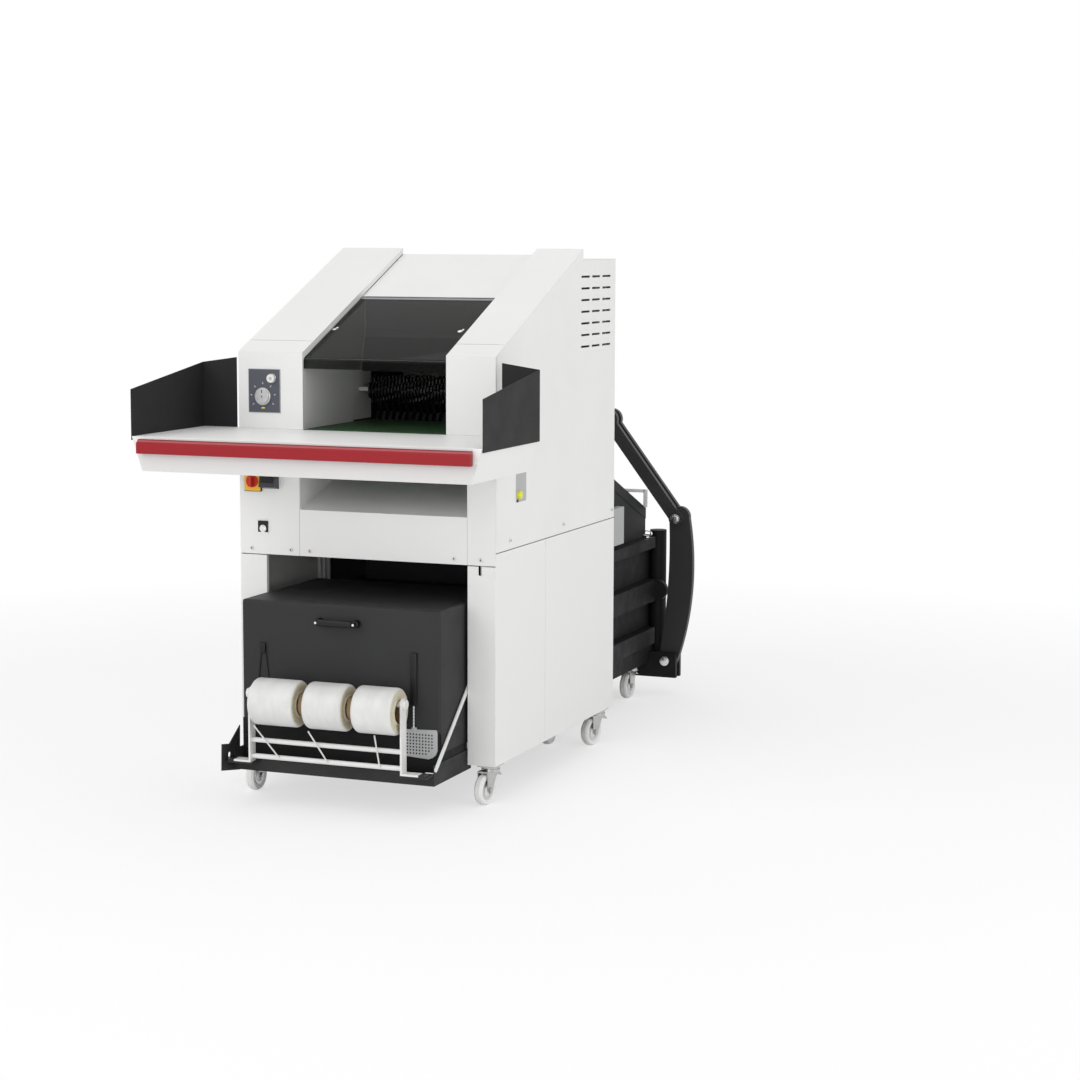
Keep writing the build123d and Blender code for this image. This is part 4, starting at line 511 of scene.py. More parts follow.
def finish(name):
    """The named finish, made once."""
    if name not in made_finishes:
        c = colours()
        maker, *values = {
            "casing_white": (paint, c.white),
            "press_black": (worn_paint, c.black),
            "guard_black": (paint, c.guard, 0.6, 0.2, 900.0, 0.08, 0.15),
            "hood_black": (paint, c.hood, 0.5, 0.2, 900.0, 0.12, 0.2),
            "clamp_black": (paint, shade(c.black, 2.4), 0.45, 0.3, 700.0, 0.12, 0.3),
            "shelf_black": (worn_paint, shade(c.black, 2.6)),
            "switch_grey": (plastic, (0.05, 0.052, 0.056), 0.4),
            "bar_red": (
                zoned, c.bar, (
                    # painted highlight: a pink line along the edge of the bar's upper bevel
                    ((0.42, 0.09, 0.10), at(-OPEN, -OPEN, 1161.5), at(OPEN, OPEN, 1166.5)),
                    # painted shade: the upper bevel darker red
                    (shade(c.bar, 0.6), at(-OPEN, -OPEN, 1166.5), at(OPEN, OPEN, OPEN))), 0.38, 0.25),
            "plate_grey": (plastic, c.plate, 0.45),
            "knob_silver": (steel, (0.62, 0.62, 0.62), 0.34),
            "mark_grey": (plastic, (0.46, 0.47, 0.50), 0.4),
            "black_plastic": (plastic, (0.02, 0.02, 0.022), 0.38),
            "white_plastic": (plastic, (0.74, 0.74, 0.72), 0.3),
            "switch_yellow": (plastic, (0.82, 0.46, 0.03), 0.35),
            "signal_green": (plastic, (0.72, 0.72, 0.05), 0.35),
            "switch_red": (plastic, (0.55, 0.03, 0.015), 0.32),
            "visor_tint": (smoked_sheet, c.visor),
            "belt_green": (belt_rubber, c.belt),
            "bow_white": (paint, (0.66, 0.66, 0.66), 0.35),
            "bright_zinc": (steel, (0.66, 0.66, 0.65), 0.36),
            "fork_zinc": (steel, (0.50, 0.50, 0.49), 0.24, (1, 1, 1), 40.0),
            "bare_steel": (steel, (0.38, 0.38, 0.38), 0.38, (0.2, 1, 1)),
            "cutter_steel": (steel, (0.13, 0.13, 0.135), 0.36, (1, 0.3, 0.3)),
            "bolt_chrome": (steel, (0.78, 0.78, 0.78), 0.2),
            "wheel_grey": (plastic, c.wheel, 0.5, 700.0),
            "motor_grey": (worn_paint, (0.08, 0.09, 0.11)),
            "twine_white": (wound_twine, c.twine),
            # the rolls' end faces: warmer than the twine, and darker as painted shade
            "twine_end": (card, (0.56, 0.52, 0.40)),
            "core_tan": (card, c.core),
            # painted shade of the small recess on the right side
            "panel_grey": (paint, PANEL, 0.5),
            "grip_black": (plastic, (0.006, 0.006, 0.006), 0.4, 900.0, 0.3),
            "tool_grey": (steel, (0.46, 0.47, 0.47), 0.4),
            "comb_black": (plastic, (0.006, 0.006, 0.007), 0.35, 900.0, 0.4),
            "bead_grey": (steel, (0.25, 0.255, 0.26), 0.35, (0.1, 1, 1)),
            "table": (
                zoned, c.white, (
                    # painted shade: the table's front under the safety bar darker
                    (shade(c.white, 0.84), at(-OPEN, -OPEN, 0), at(OPEN, -437, 1130)),
                    # painted light: the table's top lighter
                    (shade(c.white, 1.12), at(-OPEN, -OPEN, 1174.8), at(OPEN, OPEN, OPEN))), 0.42, 0.4),
            "lining": (
                zoned, shade(c.white, 0.85), (
                    ((0.20, 0.205, 0.21), at(-215, 405, 0), at(279, OPEN, OPEN)),
                    # painted shade: the intake's depths behind the feed roller near black
                    (DARK, at(-215, 405, 0), at(279, OPEN, 1457))), 0.5),
            "unit_plates": (
                zoned, c.black, ((shade(c.white, 0.8), at(-OPEN, 0, 1182), at(OPEN, 519, OPEN)),), 0.5),
            "side_panels": (
                # painted shade: the inner faces of the side walls deep inside the machine near black
                zoned, c.white, ((DARK, at(-449.2, 632, 250), at(449.2, 1111, 765)),), 0.42, 0.4),
            "housing": (zoned, c.black, ((PANEL, at(275, 1450, 0), at(OPEN, OPEN, OPEN)),), 0.5, 0.12),
            "holder": (
                zoned, shade(c.white, 0.95), (
                    (DARK, at(320, -400, 0), at(345, -250, 166)),
                    (DARK, at(-OPEN, -400, 0), at(-318, -250, 166))), 0.35, 0.4),
        }[name]
        made_finishes[name] = maker(name, *values)
    return made_finishes[name]


NODE_FINISHES = {
    "casing_white": (
        "upper_panels", "slope_covers", "front_covers", "middle_cover", "lower_front_covers",
        "middle_fascia", "tower_frame"),
    "table": ("feed_table",),
    "side_panels": ("lower_side_panels",),
    "lining": ("intake_lining",),
    "unit_plates": ("feed_unit",),
    "housing": ("rear_housing",),
    "holder": ("roll_holder",),
    "press_black": (
        "press_channel", "press_ram"),
    "clamp_black": (
        "clamp_crosshead", "clamp_arm_left", "clamp_arm_right", "clamp_lever_left", "clamp_lever_right"),
    "shelf_black": ("twine_shelf",),
    "guard_black": ("table_wings",),
    "hood_black": ("hood",),
    "bar_red": ("safety_bar",),
    "plate_grey": ("control_plate",),
    "switch_grey": ("switch_and_inlet",),
    "white_plastic": ("start_button",),
    "switch_red": ("main_switch_knob",),
    "visor_tint": ("visor",),
    "belt_green": ("conveyor_belt",),
    "bare_steel": ("conveyor_drum", "hydraulic_cylinders"),
    "cutter_steel": ("lower_cutter", "upper_cutter", "motor_pinion"),
    "bright_zinc": ("fasteners",),
    "fork_zinc": ("caster_plates",),
    "bolt_chrome": ("cam_lock",),
    "wheel_grey": ("middle_wheelset",),
    "motor_grey": ("drive_motor",),
}


class BALER_OT_finishes(bpy.types.Operator):
    """Gives every piece of the frame its finish"""

    bl_idname = "baler.finishes"
    bl_label = "Finish the frame"

    def execute(self, context):
        chosen = {node: name for name, nodes in NODE_FINISHES.items() for node in nodes}
        for node, obj in frame["nodes"].items():
            if node.startswith("caster_fork"):
                chosen[node] = "fork_zinc"
            elif node.startswith("caster_wheel"):
                chosen[node] = "wheel_grey"
            obj.data.materials.clear()
            obj.data.materials.append(finish(chosen.get(node, "bright_zinc")))
            obj.data.shade_smooth()
            obj.data.set_sharp_from_angle(angle=SMOOTH)
        return {"FINISHED"}


class BALER_OT_twine_rolls(bpy.types.Operator):
    """Winds three rolls of twine on their card cores"""

    bl_idname = "baler.twine_rolls"
    bl_label = "Twine rolls"

    def execute(self, context):
        rounding = fittings().roll_rounding
        for i, shown_core in enumerate(ROLL_CORES, 1):
            node = "twine_roll_%d" % i
            low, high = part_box(node)
            left = low.x + shown_core
            centre = Vector(((left + high.x) / 2, (low.y + high.y) / 2, (low.z + high.z) / 2))
            half = (high.x - left) / 2
            radius = (high.z - low.z) / 2
            bore = radius / 2
            profile = [(-half, bore), (-half + 0.003, bore + 0.006)]
            for step in range(7):
                turn = math.pi / 2 * step / 6
                inward, outward = rounding * math.cos(turn), rounding * math.sin(turn)
                profile.append((-half + rounding - inward, radius - rounding + outward))
            profile += [(-a, r) for a, r in profile[::-1]]
            bm = bmesh.new()
            add_turned(bm, centre, ALONG, profile, 72)
            wound = finish_piece(bm, "wound_twine_%d" % i, "roll_%d" % i, "twine_white")
            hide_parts(node)
            # the end faces take twine_end, a darker tone that is partly painted shade
            wound.data.materials.append(finish("twine_end"))
            for face in wound.data.polygons:
                face.material_index = int(abs(face.normal.x) > 0.8)
            bm = bmesh.new()
            inner = bore - 0.003
            low_end = low.x - centre.x + 0.001
            add_turned(bm, centre, ALONG, [
                (low_end, inner), (low_end, bore - 0.0003), (half, bore - 0.0003), (half, inner)], 48)
            core = finish_piece(bm, "roll_core_%d" % i, "roll_%d" % i, "core_tan")
            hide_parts(node)
        return {"FINISHED"}


STRANDS = (
    ((-243.0, -312.8, 266.0), (-159.0, -300.8, 164.0)),
    ((-53.0, -312.8, 262.0), (9.0, -300.8, 164.0)),
    ((175.0, -312.8, 266.0), (187.0, -300.8, 164.0)),
)


class BALER_OT_strands(bpy.types.Operator):
    """Draws the three strands from the rolls to the lower bar"""

    bl_idname = "baler.strands"
    bl_label = "Twine strands"

    def execute(self, context):
        diameter = fittings().twine_diameter
        for i, (start, end) in enumerate(STRANDS, 1):
            points = [at(*start), (at(*start) + at(*end)) / 2, at(*end)]
            curve = bpy.data.curves.new("strand_%d" % i, "CURVE")
            curve.dimensions = "3D"
            curve.bevel_depth = diameter / 2
            curve.bevel_resolution = 4
            curve.use_fill_caps = True
            spline = curve.splines.new("NURBS")
            spline.points.add(len(points) - 1)
            for point, place in zip(spline.points, points):
                point.co = (*place, 1)
            spline.order_u = 3
            spline.use_endpoint_u = True
            curve.materials.append(finish("twine_white"))
            strand = bpy.data.objects.new("strand_%d" % i, curve)
            context.scene.collection.objects.link(strand)
            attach(strand, MACHINE)
            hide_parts("twine_strands")
        return {"FINISHED"}


class BALER_OT_controls(bpy.types.Operator):
    """Makes the knob, the dial marks, the button's ring, and the plates of switch, inlet and lock"""

    bl_idname = "baler.controls"
    bl_label = "Controls"

    def execute(self, context):
        sizes = fittings()
        plate_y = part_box("control_plate")[0].y
        centre = middle("mode_knob")
        centre.y = plate_y
        radius = sizes.knob_radius
        base = centre + OUT * 0.0004
        bm = bmesh.new()
        add_turned(bm, base, OUT, [
            (0, 0.008), (0, radius), (0.004, radius), (0.0052, radius - 0.0012), (0.0052, radius - 0.004),
            (0.0088, radius - 0.0048), (0.0098, radius - 0.0058), (0.0098, 0.008)], 64)
        add_disc(bm, base + OUT * 0.0002, OUT, 0.0085, 0.0093, 32)
        knob = finish_piece(bm, "knob_body", "knob", "knob_silver", 0.00001)
        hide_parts("mode_knob")
        bm = bmesh.new()
        tip = base + OUT * 0.0099
        add_box(
            bm, tip + Vector((-0.0014, -0.0008, 0.011)), tip + Vector((0.0014, 0.0003, radius - 0.007)), 0.0003)
        add_disc(bm, tip, OUT, 0.0026, 0.0008, 4, 0.0002)
        pointer = finish_piece(bm, "knob_pointer", "knob", "black_plastic")
        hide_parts("mode_knob")

        marks = bmesh.new()
        face = centre + OUT * BOLTED
        for step in range(7):
            turn = math.radians(FIRST_MARK + MARK_STEP * step)
            ray = Vector((math.cos(turn), 0, math.sin(turn)))
            for step_out, size, sides in DIAL_MARKS:
                add_disc(marks, face + ray * (sizes.mark_radius + step_out), OUT, size, 0.0003, sides)
        low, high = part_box("control_plate")
        edge = 0.0016
        for x0, x1, z0, z1 in (
            (low.x, high.x, low.z, low.z + edge), (low.x, high.x, high.z - edge, high.z),
            (low.x, low.x + edge, low.z + edge, high.z - edge),
            (high.x - edge, high.x, low.z + edge, high.z - edge),
        ):
            add_box(marks, Vector((x0, plate_y - 0.0005, z0)), Vector((x1, plate_y - BOLTED, z1)))
        finish_piece(marks, "dial_marks", MACHINE, "mark_grey")
        low_mark = bmesh.new()
        spot = face - Vector((0, 0, sizes.mark_radius - 0.005))
        add_box(low_mark, spot + Vector((-0.006, -0.0003, -0.0022)), spot + Vector((0.006, 0, 0.0022)))
        finish_piece(low_mark, "reset_mark", MACHINE, "signal_green")

        ring = bmesh.new()
        button = middle("start_button")
        spot = Vector((button.x, plate_y, button.z)) + OUT * BOLTED
        button_low, button_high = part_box("start_button")
        size = (button_high.x - button_low.x) / 2
        add_turned(ring, spot, OUT, [
            (0, size + 0.0004), (0, size + 0.0024), (0.0020, size + 0.0018), (0.0030, size + 0.0010),
            (0.0030, size + 0.0004)])
        finish_piece(ring, "button_ring", MACHINE, "bolt_chrome")
        dot = bmesh.new()
        front = Vector((button.x, button_low.y, button.z))
        add_disc(dot, front, OUT, 0.0055, 0.0003, 24)
        finish_piece(dot, "button_mark", "button", "mark_grey")

        plate = bmesh.new()
        switch = middle("main_switch_knob")
        box_face = at(0, -9, 0).y - BOLTED
        add_box(
            plate, Vector((switch.x - 0.029, box_face - 0.0015, switch.z - 0.032)),
            Vector((switch.x + 0.029, box_face, switch.z + 0.036)), 0.0006)
        finish_piece(plate, "switch_plate", MACHINE, "switch_yellow")

        plates = bmesh.new()
        add_box(plates, at(-384, -3.7, 838.5), at(-347, -3.0, 875.5), 0.0002)
        add_box(plates, at(-358, -34.5, 1003), at(-315, -34.1, 1040), 0.0001)
        finish_piece(plates, "lock_and_inlet_plates", MACHINE, "grip_black")
        lock = bmesh.new()
        add_disc(lock, at(-366, -4.1, 849), OUT, 0.0085, 0.0016, 32, 0.0006)
        finish_piece(lock, "lock_face", "lock", "bolt_chrome")
        return {"FINISHED"}


def add_bolt(bm, place, axis, sizes):
    """Washer and hexagonal head."""
    washer = 0.003
    add_disc(bm, Vector(place), axis, sizes.washer_radius, washer, 40, 0.0006)
    add_disc(bm, Vector(place) + axis * washer, axis, sizes.bolt_radius, sizes.bolt_height, 6, 0.001)


class BALER_OT_clamp_bolts(bpy.types.Operator):
    """Puts bright hexagonal bolts on the clamp's pivots"""

    bl_idname = "baler.clamp_bolts"
    bl_label = "Clamp bolts"

    def execute(self, context):
        sizes = fittings()
        for side, sign in (("right", 1), ("left", -1)):
            low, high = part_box("clamp_lever_" + side)
            for name, body, x, z, y0, y1 in (
                ("lever_bolts_", "lever_" + side, 386, 702, low.y, high.y),
                ("arm_bolts_", "crosshead", 99, 1082, low.y, high.y),
                ("foot_bolts_", MACHINE, 349, 135, at(0, 2008, 0).y, at(0, 2097, 0).y),
            ):
                bm = bmesh.new()
                place = at(sign * x, 0, z)
                add_bolt(bm, (place.x, y0 - BOLTED, place.z), OUT, sizes)
                add_bolt(bm, (place.x, y1 + BOLTED, place.z), -OUT, sizes)
                finish_piece(bm, name + side, body, "bolt_chrome")
        return {"FINISHED"}


class BALER_OT_screws(bpy.types.Operator):
    """Covers the casing screws with domed, socketed heads"""

    bl_idname = "baler.screws"
    bl_label = "Casing screws"

    def execute(self, context):
        radius = fittings().screw_radius
        heads = bmesh.new()
        sockets = bmesh.new()
        spots = [(at(x, -2.5, FRONT_SCREW_Z), OUT) for x in FRONT_SCREWS]
        for y in SIDE_SCREWS:
            for sign in (-1, 1):
                spots.append((at(sign * 452.5, y, SIDE_SCREW_Z), Vector((sign, 0, 0))))
        for place, out in spots:
            add_disc(heads, place + out * BOLTED, out, radius, 0.0016, 24, 0.001, radius * 0.8)
            add_disc(sockets, place + out * (0.0016 + BOLTED), out, radius * 0.45, 0.0003, 6)
        finish_piece(heads, "screw_heads", MACHINE, "bright_zinc")
        finish_piece(sockets, "screw_sockets", MACHINE, "black_plastic")
        return {"FINISHED"}


class BALER_OT_visor_clips(bpy.types.Operator):
    """Adds the two bright clips on the visor's edges"""

    bl_idname = "baler.visor_clips"
    bl_label = "Visor clips"

    def execute(self, context):
        bm = bmesh.new()
        lean = math.atan(SLOPE_RISE / SLOPE_RUN)
        up = Vector((0, -math.sin(lean), math.cos(lean)))
        for x in (-209, 239):
            add_disc(bm, at(x, 213, slope_z(213, 23.6)), up, 0.008, 0.003, 24, 0.001)
            add_disc(bm, at(x + 9, 219, slope_z(219, 23.6)), up, 0.004, 0.006, 16, 0.0015)
        finish_piece(bm, "visor_clips", "visor", "bolt_chrome")
        return {"FINISHED"}


class BALER_OT_side_recess(bpy.types.Operator):
    """Adds the small recess on the right side as a grey plate of painted shade, with its round button and a dot"""

    bl_idname = "baler.side_recess"
    bl_label = "Side recess"

    def execute(self, context):
        bm = bmesh.new()
        # the recess's shade painted on a thin grey plate
        add_box(bm, at(450.2, 172, 951), at(450.9, 259, 1044), 0.0002)
        finish_piece(bm, "side_recess_shade", MACHINE, "panel_grey")
        for name, y, z, radius, height, sides, rim, finish_name, slot in (
            ("side_button", 190, 975, 0.013, 0.012, 32, 0.003, "signal_green", "red_plastic"),
            ("side_dot", 181, 956, 0.004, 0.004, 16, 0.001, "black_plastic", "black_plastic"),
        ):
            bm = bmesh.new()
            add_disc(bm, at(450.9, y, z), ALONG, radius, height, sides, rim)
            finish_piece(bm, name, MACHINE, finish_name)
        return {"FINISHED"}


class BALER_OT_casters(bpy.types.Operator):
    """Adds a bright ring to each side of the caster wheels"""

    bl_idname = "baler.casters"
    bl_label = "Caster rings"

    def execute(self, context):
        for joint in frame["joints"]:
            if joint["name"].endswith("_roll") and joint["parent"].endswith("_fork"):
                corner = joint["name"][: -len("_roll")]
                axis = Vector(joint["axis"])
                centre = Vector(joint["pos_m"])
                bm = bmesh.new()
                for sign in (-1, 1):
                    start = centre + axis * sign * 0.0101
                    add_turned(bm, start, axis * sign, [
                        (0, 0.020), (0, 0.032), (0.0022, 0.031), (0.0022, 0.021)], 40)
                finish_piece(bm, "wheel_rings_" + corner, corner + "_wheel", "knob_silver")
        return {"FINISHED"}


def slope_z(y, drop=0.0):
    """Height of the tower's sloping front at depth y, in millimetres, lowered by drop."""
    return SLOPE_FOOT + SLOPE_RISE / SLOPE_RUN * y - drop


class BALER_OT_visor_sheet(bpy.types.Operator):
    """Bends the smoked sheet over the intake, with a bead on its pivot and a rim on its fold"""

    bl_idname = "baler.visor_sheet"
    bl_label = "Visor sheet"

    def execute(self, context):
        sizes = fittings()
        low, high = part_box("visor")
        front, back, drop = 12, 441, 26
        bend = at(0, front, slope_z(front, drop))
        top = at(0, back, slope_z(back, drop))
        bm = bmesh.new()
        verts = [bm.verts.new((low.x + CLEAR_X, p.y, p.z)) for p in (
            top, bend, bend - Vector((0, 0, sizes.visor_lip)))]
        edges = [bm.edges.new(pair) for pair in zip(verts, verts[1:])]
        made = bmesh.ops.extrude_edge_only(bm, edges=edges)
        bmesh.ops.translate(bm, verts=new_verts(made), vec=(high.x - low.x - 2 * CLEAR_X, 0, 0))
        fold = [e for e in bm.edges if all(abs(v.co.y - bend.y) + abs(v.co.z - bend.z) < 1e-6 for v in e.verts)]
        round_edges(bm, fold, 0.007, 5)
        bmesh.ops.recalc_face_normals(bm, faces=bm.faces)
        if sum(f.normal.z * f.calc_area() for f in bm.faces) > 0:
            bmesh.ops.reverse_faces(bm, faces=bm.faces)
        bmesh.ops.solidify(bm, geom=list(bm.faces), thickness=0.004)
        sheet = finish_piece(bm, "visor_sheet", "visor", "visor_tint")
        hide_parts("visor")
        bm = bmesh.new()
        add_disc(bm, (low.x, top.y, top.z), ALONG, 0.007, high.x - low.x, 32, 0.001)
        bead = finish_piece(bm, "visor_bead", "visor", "bead_grey")
        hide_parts("visor")
        bm = bmesh.new()
        fold_line = bend + Vector((0, 0.0015, 0.0006))
        start = (low.x + 0.001, fold_line.y, fold_line.z)
        add_disc(bm, start, ALONG, 0.0026, high.x - low.x - 0.002, 24, 0.0008)
        rim = finish_piece(bm, "visor_rim", "visor", "bead_grey")
        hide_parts("visor")
        return {"FINISHED"}


class BALER_OT_feed_comb(bpy.types.Operator):
    """Makes the black roller whose toothed rings press the waste onto the belt"""

    bl_idname = "baler.feed_comb"
    bl_label = "Feed roller"

    def execute(self, context):
        sizes = fittings()
        low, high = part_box("feed_roller")
        axis = middle("feed_roller")
        radius = (high.z - low.z) / 2
        sides = 40
        bare = 0.062
        start, end = low.x + bare, high.x - bare
        bm = bmesh.new()
        shaft = bmesh.new()
        add_disc(shaft, (low.x, axis.y, axis.z), ALONG, 0.007, high.x - low.x, 24)
        journal = finish_piece(shaft, "feed_journal", "roller", "bow_white")
        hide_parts("feed_roller")
        add_disc(bm, (start - 0.004, axis.y, axis.z), ALONG, radius * 0.66, end - start + 0.008, sides, 0.002)
        count = int((end - start) / sizes.ring_pitch) + 1
        pitch = (end - start) / count
        for ring in range(count):
            place = Vector((start + pitch * (ring + 0.5), axis.y, axis.z))
            before = set(bm.verts)
            half, root, tip = pitch * 0.22, radius * 0.64, radius - 0.0006
            add_turned(bm, place, ALONG, [(-half, root), (-half, tip), (half, tip), (half, root)], sides)
            for vert in set(bm.verts) - before:
                arm = Vector((0, vert.co.y - axis.y, vert.co.z - axis.z))
                step = round(math.atan2(arm.z, arm.y) / (math.tau / sides))
                if arm.length > radius * 0.8 and (step + ring // 2) % 5 < 2:
                    vert.co -= arm.normalized() * 0.007
        comb = finish_piece(bm, "feed_comb", "roller", "comb_black", 0.00001)
        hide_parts("feed_roller")
        return {"FINISHED"}


class BALER_OT_pillar_lips(bpy.types.Operator):
    """Closes the inner corners of the pillar fronts above the visor's lip"""

    bl_idname = "baler.pillar_lips"
    bl_label = "Pillar lips"

    def execute(self, context):
        bm = bmesh.new()
        for x0, x1 in ((-221.4, -219.6), (282.1, 283.9)):
            profile = [
                at(x0, 0.5, slope_z(0.5, 2)), at(x0, 81, slope_z(81, 2)), at(x0, 81, slope_z(81, 20)),
                at(x0, 0.5, slope_z(0.5, 26))]
            add_prism(bm, profile, ((x1 - x0) / 1000, 0, 0))
        finish_piece(bm, "pillar_lips", MACHINE, "casing_white")
        return {"FINISHED"}


class BALER_OT_hood_shell(bpy.types.Operator):
    """Folds the hood over the front of the press, with rounded edges"""

    bl_idname = "baler.hood_shell"
    bl_label = "Hood"

    def execute(self, context):
        low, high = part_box("hood")
        bm = bmesh.new()
        add_box(bm, low, high)
        skirt = at(0, 0, 263).z
        bmesh.ops.bisect_plane(
            bm, geom=bm.verts[:] + bm.edges[:] + bm.faces[:], plane_co=(0, 0, skirt), plane_no=(0, 0, 1))
        gone = [
            f for f in bm.faces
            if f.normal.z < -0.9 or f.normal.y > 0.9
            or (f.normal.y < -0.9 and f.calc_center_median().z < skirt)]
        bmesh.ops.delete(bm, geom=gone, context="FACES")
        folds = [e for e in bm.edges if len(e.link_faces) == 2 and e.calc_face_angle() > 1.0]
        round_edges(bm, folds, fittings().hood_rounding, 5)
        bmesh.ops.recalc_face_normals(bm, faces=bm.faces)
        if sum(f.normal.z * f.calc_area() for f in bm.faces) < 0:
            bmesh.ops.reverse_faces(bm, faces=bm.faces)
        bmesh.ops.solidify(bm, geom=list(bm.faces), thickness=0.002)
        shell = finish_piece(bm, "hood_shell", MACHINE, "hood_black")
        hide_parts("hood")
        return {"FINISHED"}


class BALER_OT_handles(bpy.types.Operator):
    """Makes the hood's black bow handle, the flat rear bow and the lifting eyes"""

    bl_idname = "baler.handles"
    bl_label = "Handles"

    def execute(self, context):
        bm = bmesh.new()
        screws = bmesh.new()
        for x, screw_x in ((-67, -68), (61, 62)):
            add_disc(bm, at(x, HOOD_FACE, 590), OUT, 0.0125, 0.022, 40, 0.003)
            add_disc(screws, at(screw_x, -226.1, 590), OUT, 0.0042, 0.0016, 24, 0.0006)
        add_box(bm, at(-62, -231.5, 580), at(56, -218.5, 602), 0.006)
        for x in (-72, 46):
            add_box(bm, at(x, -226, 582), at(x + 20, -206, 599), 0.005)
        grip = finish_piece(bm, "hood_grip", MACHINE, "grip_black")
        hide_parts("handles")
        finish_piece(screws, "grip_screws", MACHINE, "bolt_chrome")

        bm = bmesh.new()
        foot, top = 746.0, 815.9
        for x0, x1, z0, z1 in ((-280.4, -264, foot, top), (264, 280.4, foot, top), (-270, 270, 803, top)):
            add_box(bm, at(x0, 1982, z0), at(x1, 1988, z1), 0.0015)
        bow = finish_piece(bm, "rear_bow", MACHINE, "bow_white")
        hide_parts("handles")

        bm = bmesh.new()
        origin, wire = at(0, 0, 0), 0.0035
        for sign in (-1, 1):
            turns = [math.tau * step / 10 for step in range(10)]
            profile = [(wire * math.cos(t), 0.0165 + wire * math.sin(t)) for t in turns]
            ring = bmesh.new()
            add_turned(ring, origin, Vector((0, 1, 0)), profile, 40)
            bmesh.ops.scale(ring, verts=ring.verts, vec=(1.1, 1, 0.62), space=Matrix.Translation(-origin))
            bmesh.ops.translate(ring, verts=ring.verts, vec=at(sign * EYE_X, EYE_Y, EYE_FOOT + 16.8) - origin)
            mesh = bpy.data.meshes.new("eye_part")
            ring.to_mesh(mesh)
            ring.free()
            bm.from_mesh(mesh)
            add_disc(bm, at(sign * EYE_X, EYE_Y, EYE_FOOT), UP, 0.009, 0.005, 6, 0.0006)
        eyes = finish_piece(bm, "lifting_eyes", MACHINE, "bolt_chrome")
        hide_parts("handles")
        return {"FINISHED"}


class BALER_OT_tools(bpy.types.Operator):
    """Makes the threading needle and the perforated paddle that hang on the hood"""

    bl_idname = "baler.tools"
    bl_label = "Binding tools"

    def execute(self, context):
        face = HOOD_FACE
        grips = bmesh.new()
        add_box(grips, at(-279, face - 8, 477), at(-260, face, 511), 0.0025)
        add_box(grips, at(245, face - 8, 344), at(267, face, 511), 0.0025)
        for head, foot in ((-278.5, -290.5), (-260.5, -247.5)):
            leg = ((head, 477), (head + 2.6, 477), (foot + 2.6, 360), (foot, 360))
            add_prism(grips, [at(x, face - 3, z) for x, z in leg], (0, 0.0028, 0))
        grip = finish_piece(grips, "tool_grips", MACHINE, "grip_black")
        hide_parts("binding_tools")

        blade = bmesh.new()
        profile = (
            (224, 268), (333, 272), (336, 262), (336, 206), (330, 193), (320, 184), (306, 178), (224, 183.5))
        add_prism(blade, [at(x, face - 3.2, z) for x, z in profile], (0, 0.003, 0))
        add_box(blade, at(247, face - 4, 262), at(265, face - 1, 276), 0.001)
        for turn in range(7):
            place = at(255.5, face - 4.2, 275 + 10 * turn)
            add_disc(blade, place, UP, 0.0038, 0.0095, 10, 0.002, 0.003)
        paddle = finish_piece(blade, "paddle_blade", MACHINE, "tool_grey")
        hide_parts("binding_tools")
        holes = bmesh.new()
        for i in range(9):
            for j in range(7):
                place = at(233 + 10.5 * i, face - 3.2, 254 - 10.0 * j)
                if i + j < 13:
                    add_disc(holes, place, OUT, 0.0029, BOLTED, 8)
        finish_piece(holes, "paddle_holes", MACHINE, "grip_black")
        return {"FINISHED"}


class BALER_OT_inner_posts(bpy.types.Operator):
    """Adds the folded edges of the inner side walls and closes the left column's cut"""

    bl_idname = "baler.inner_posts"
    bl_label = "Inner posts"

    def execute(self, context):
        bm = bmesh.new()
        for sign in (-1, 1):
            for y0, y1, depth in ((560, 572, 9), (588, 598, 12), (622, 631, 14)):
                xs = sorted((sign * 448.3, sign * (448.3 - depth)))
                add_box(bm, at(xs[0], y0, 330), at(xs[1], y1, 764), 0.002)
        add_box(bm, at(-402.8, 0.3, 735.2), at(-392.2, 1.3, 763.3))
        finish_piece(bm, "inner_posts", MACHINE, "casing_white")
        return {"FINISHED"}


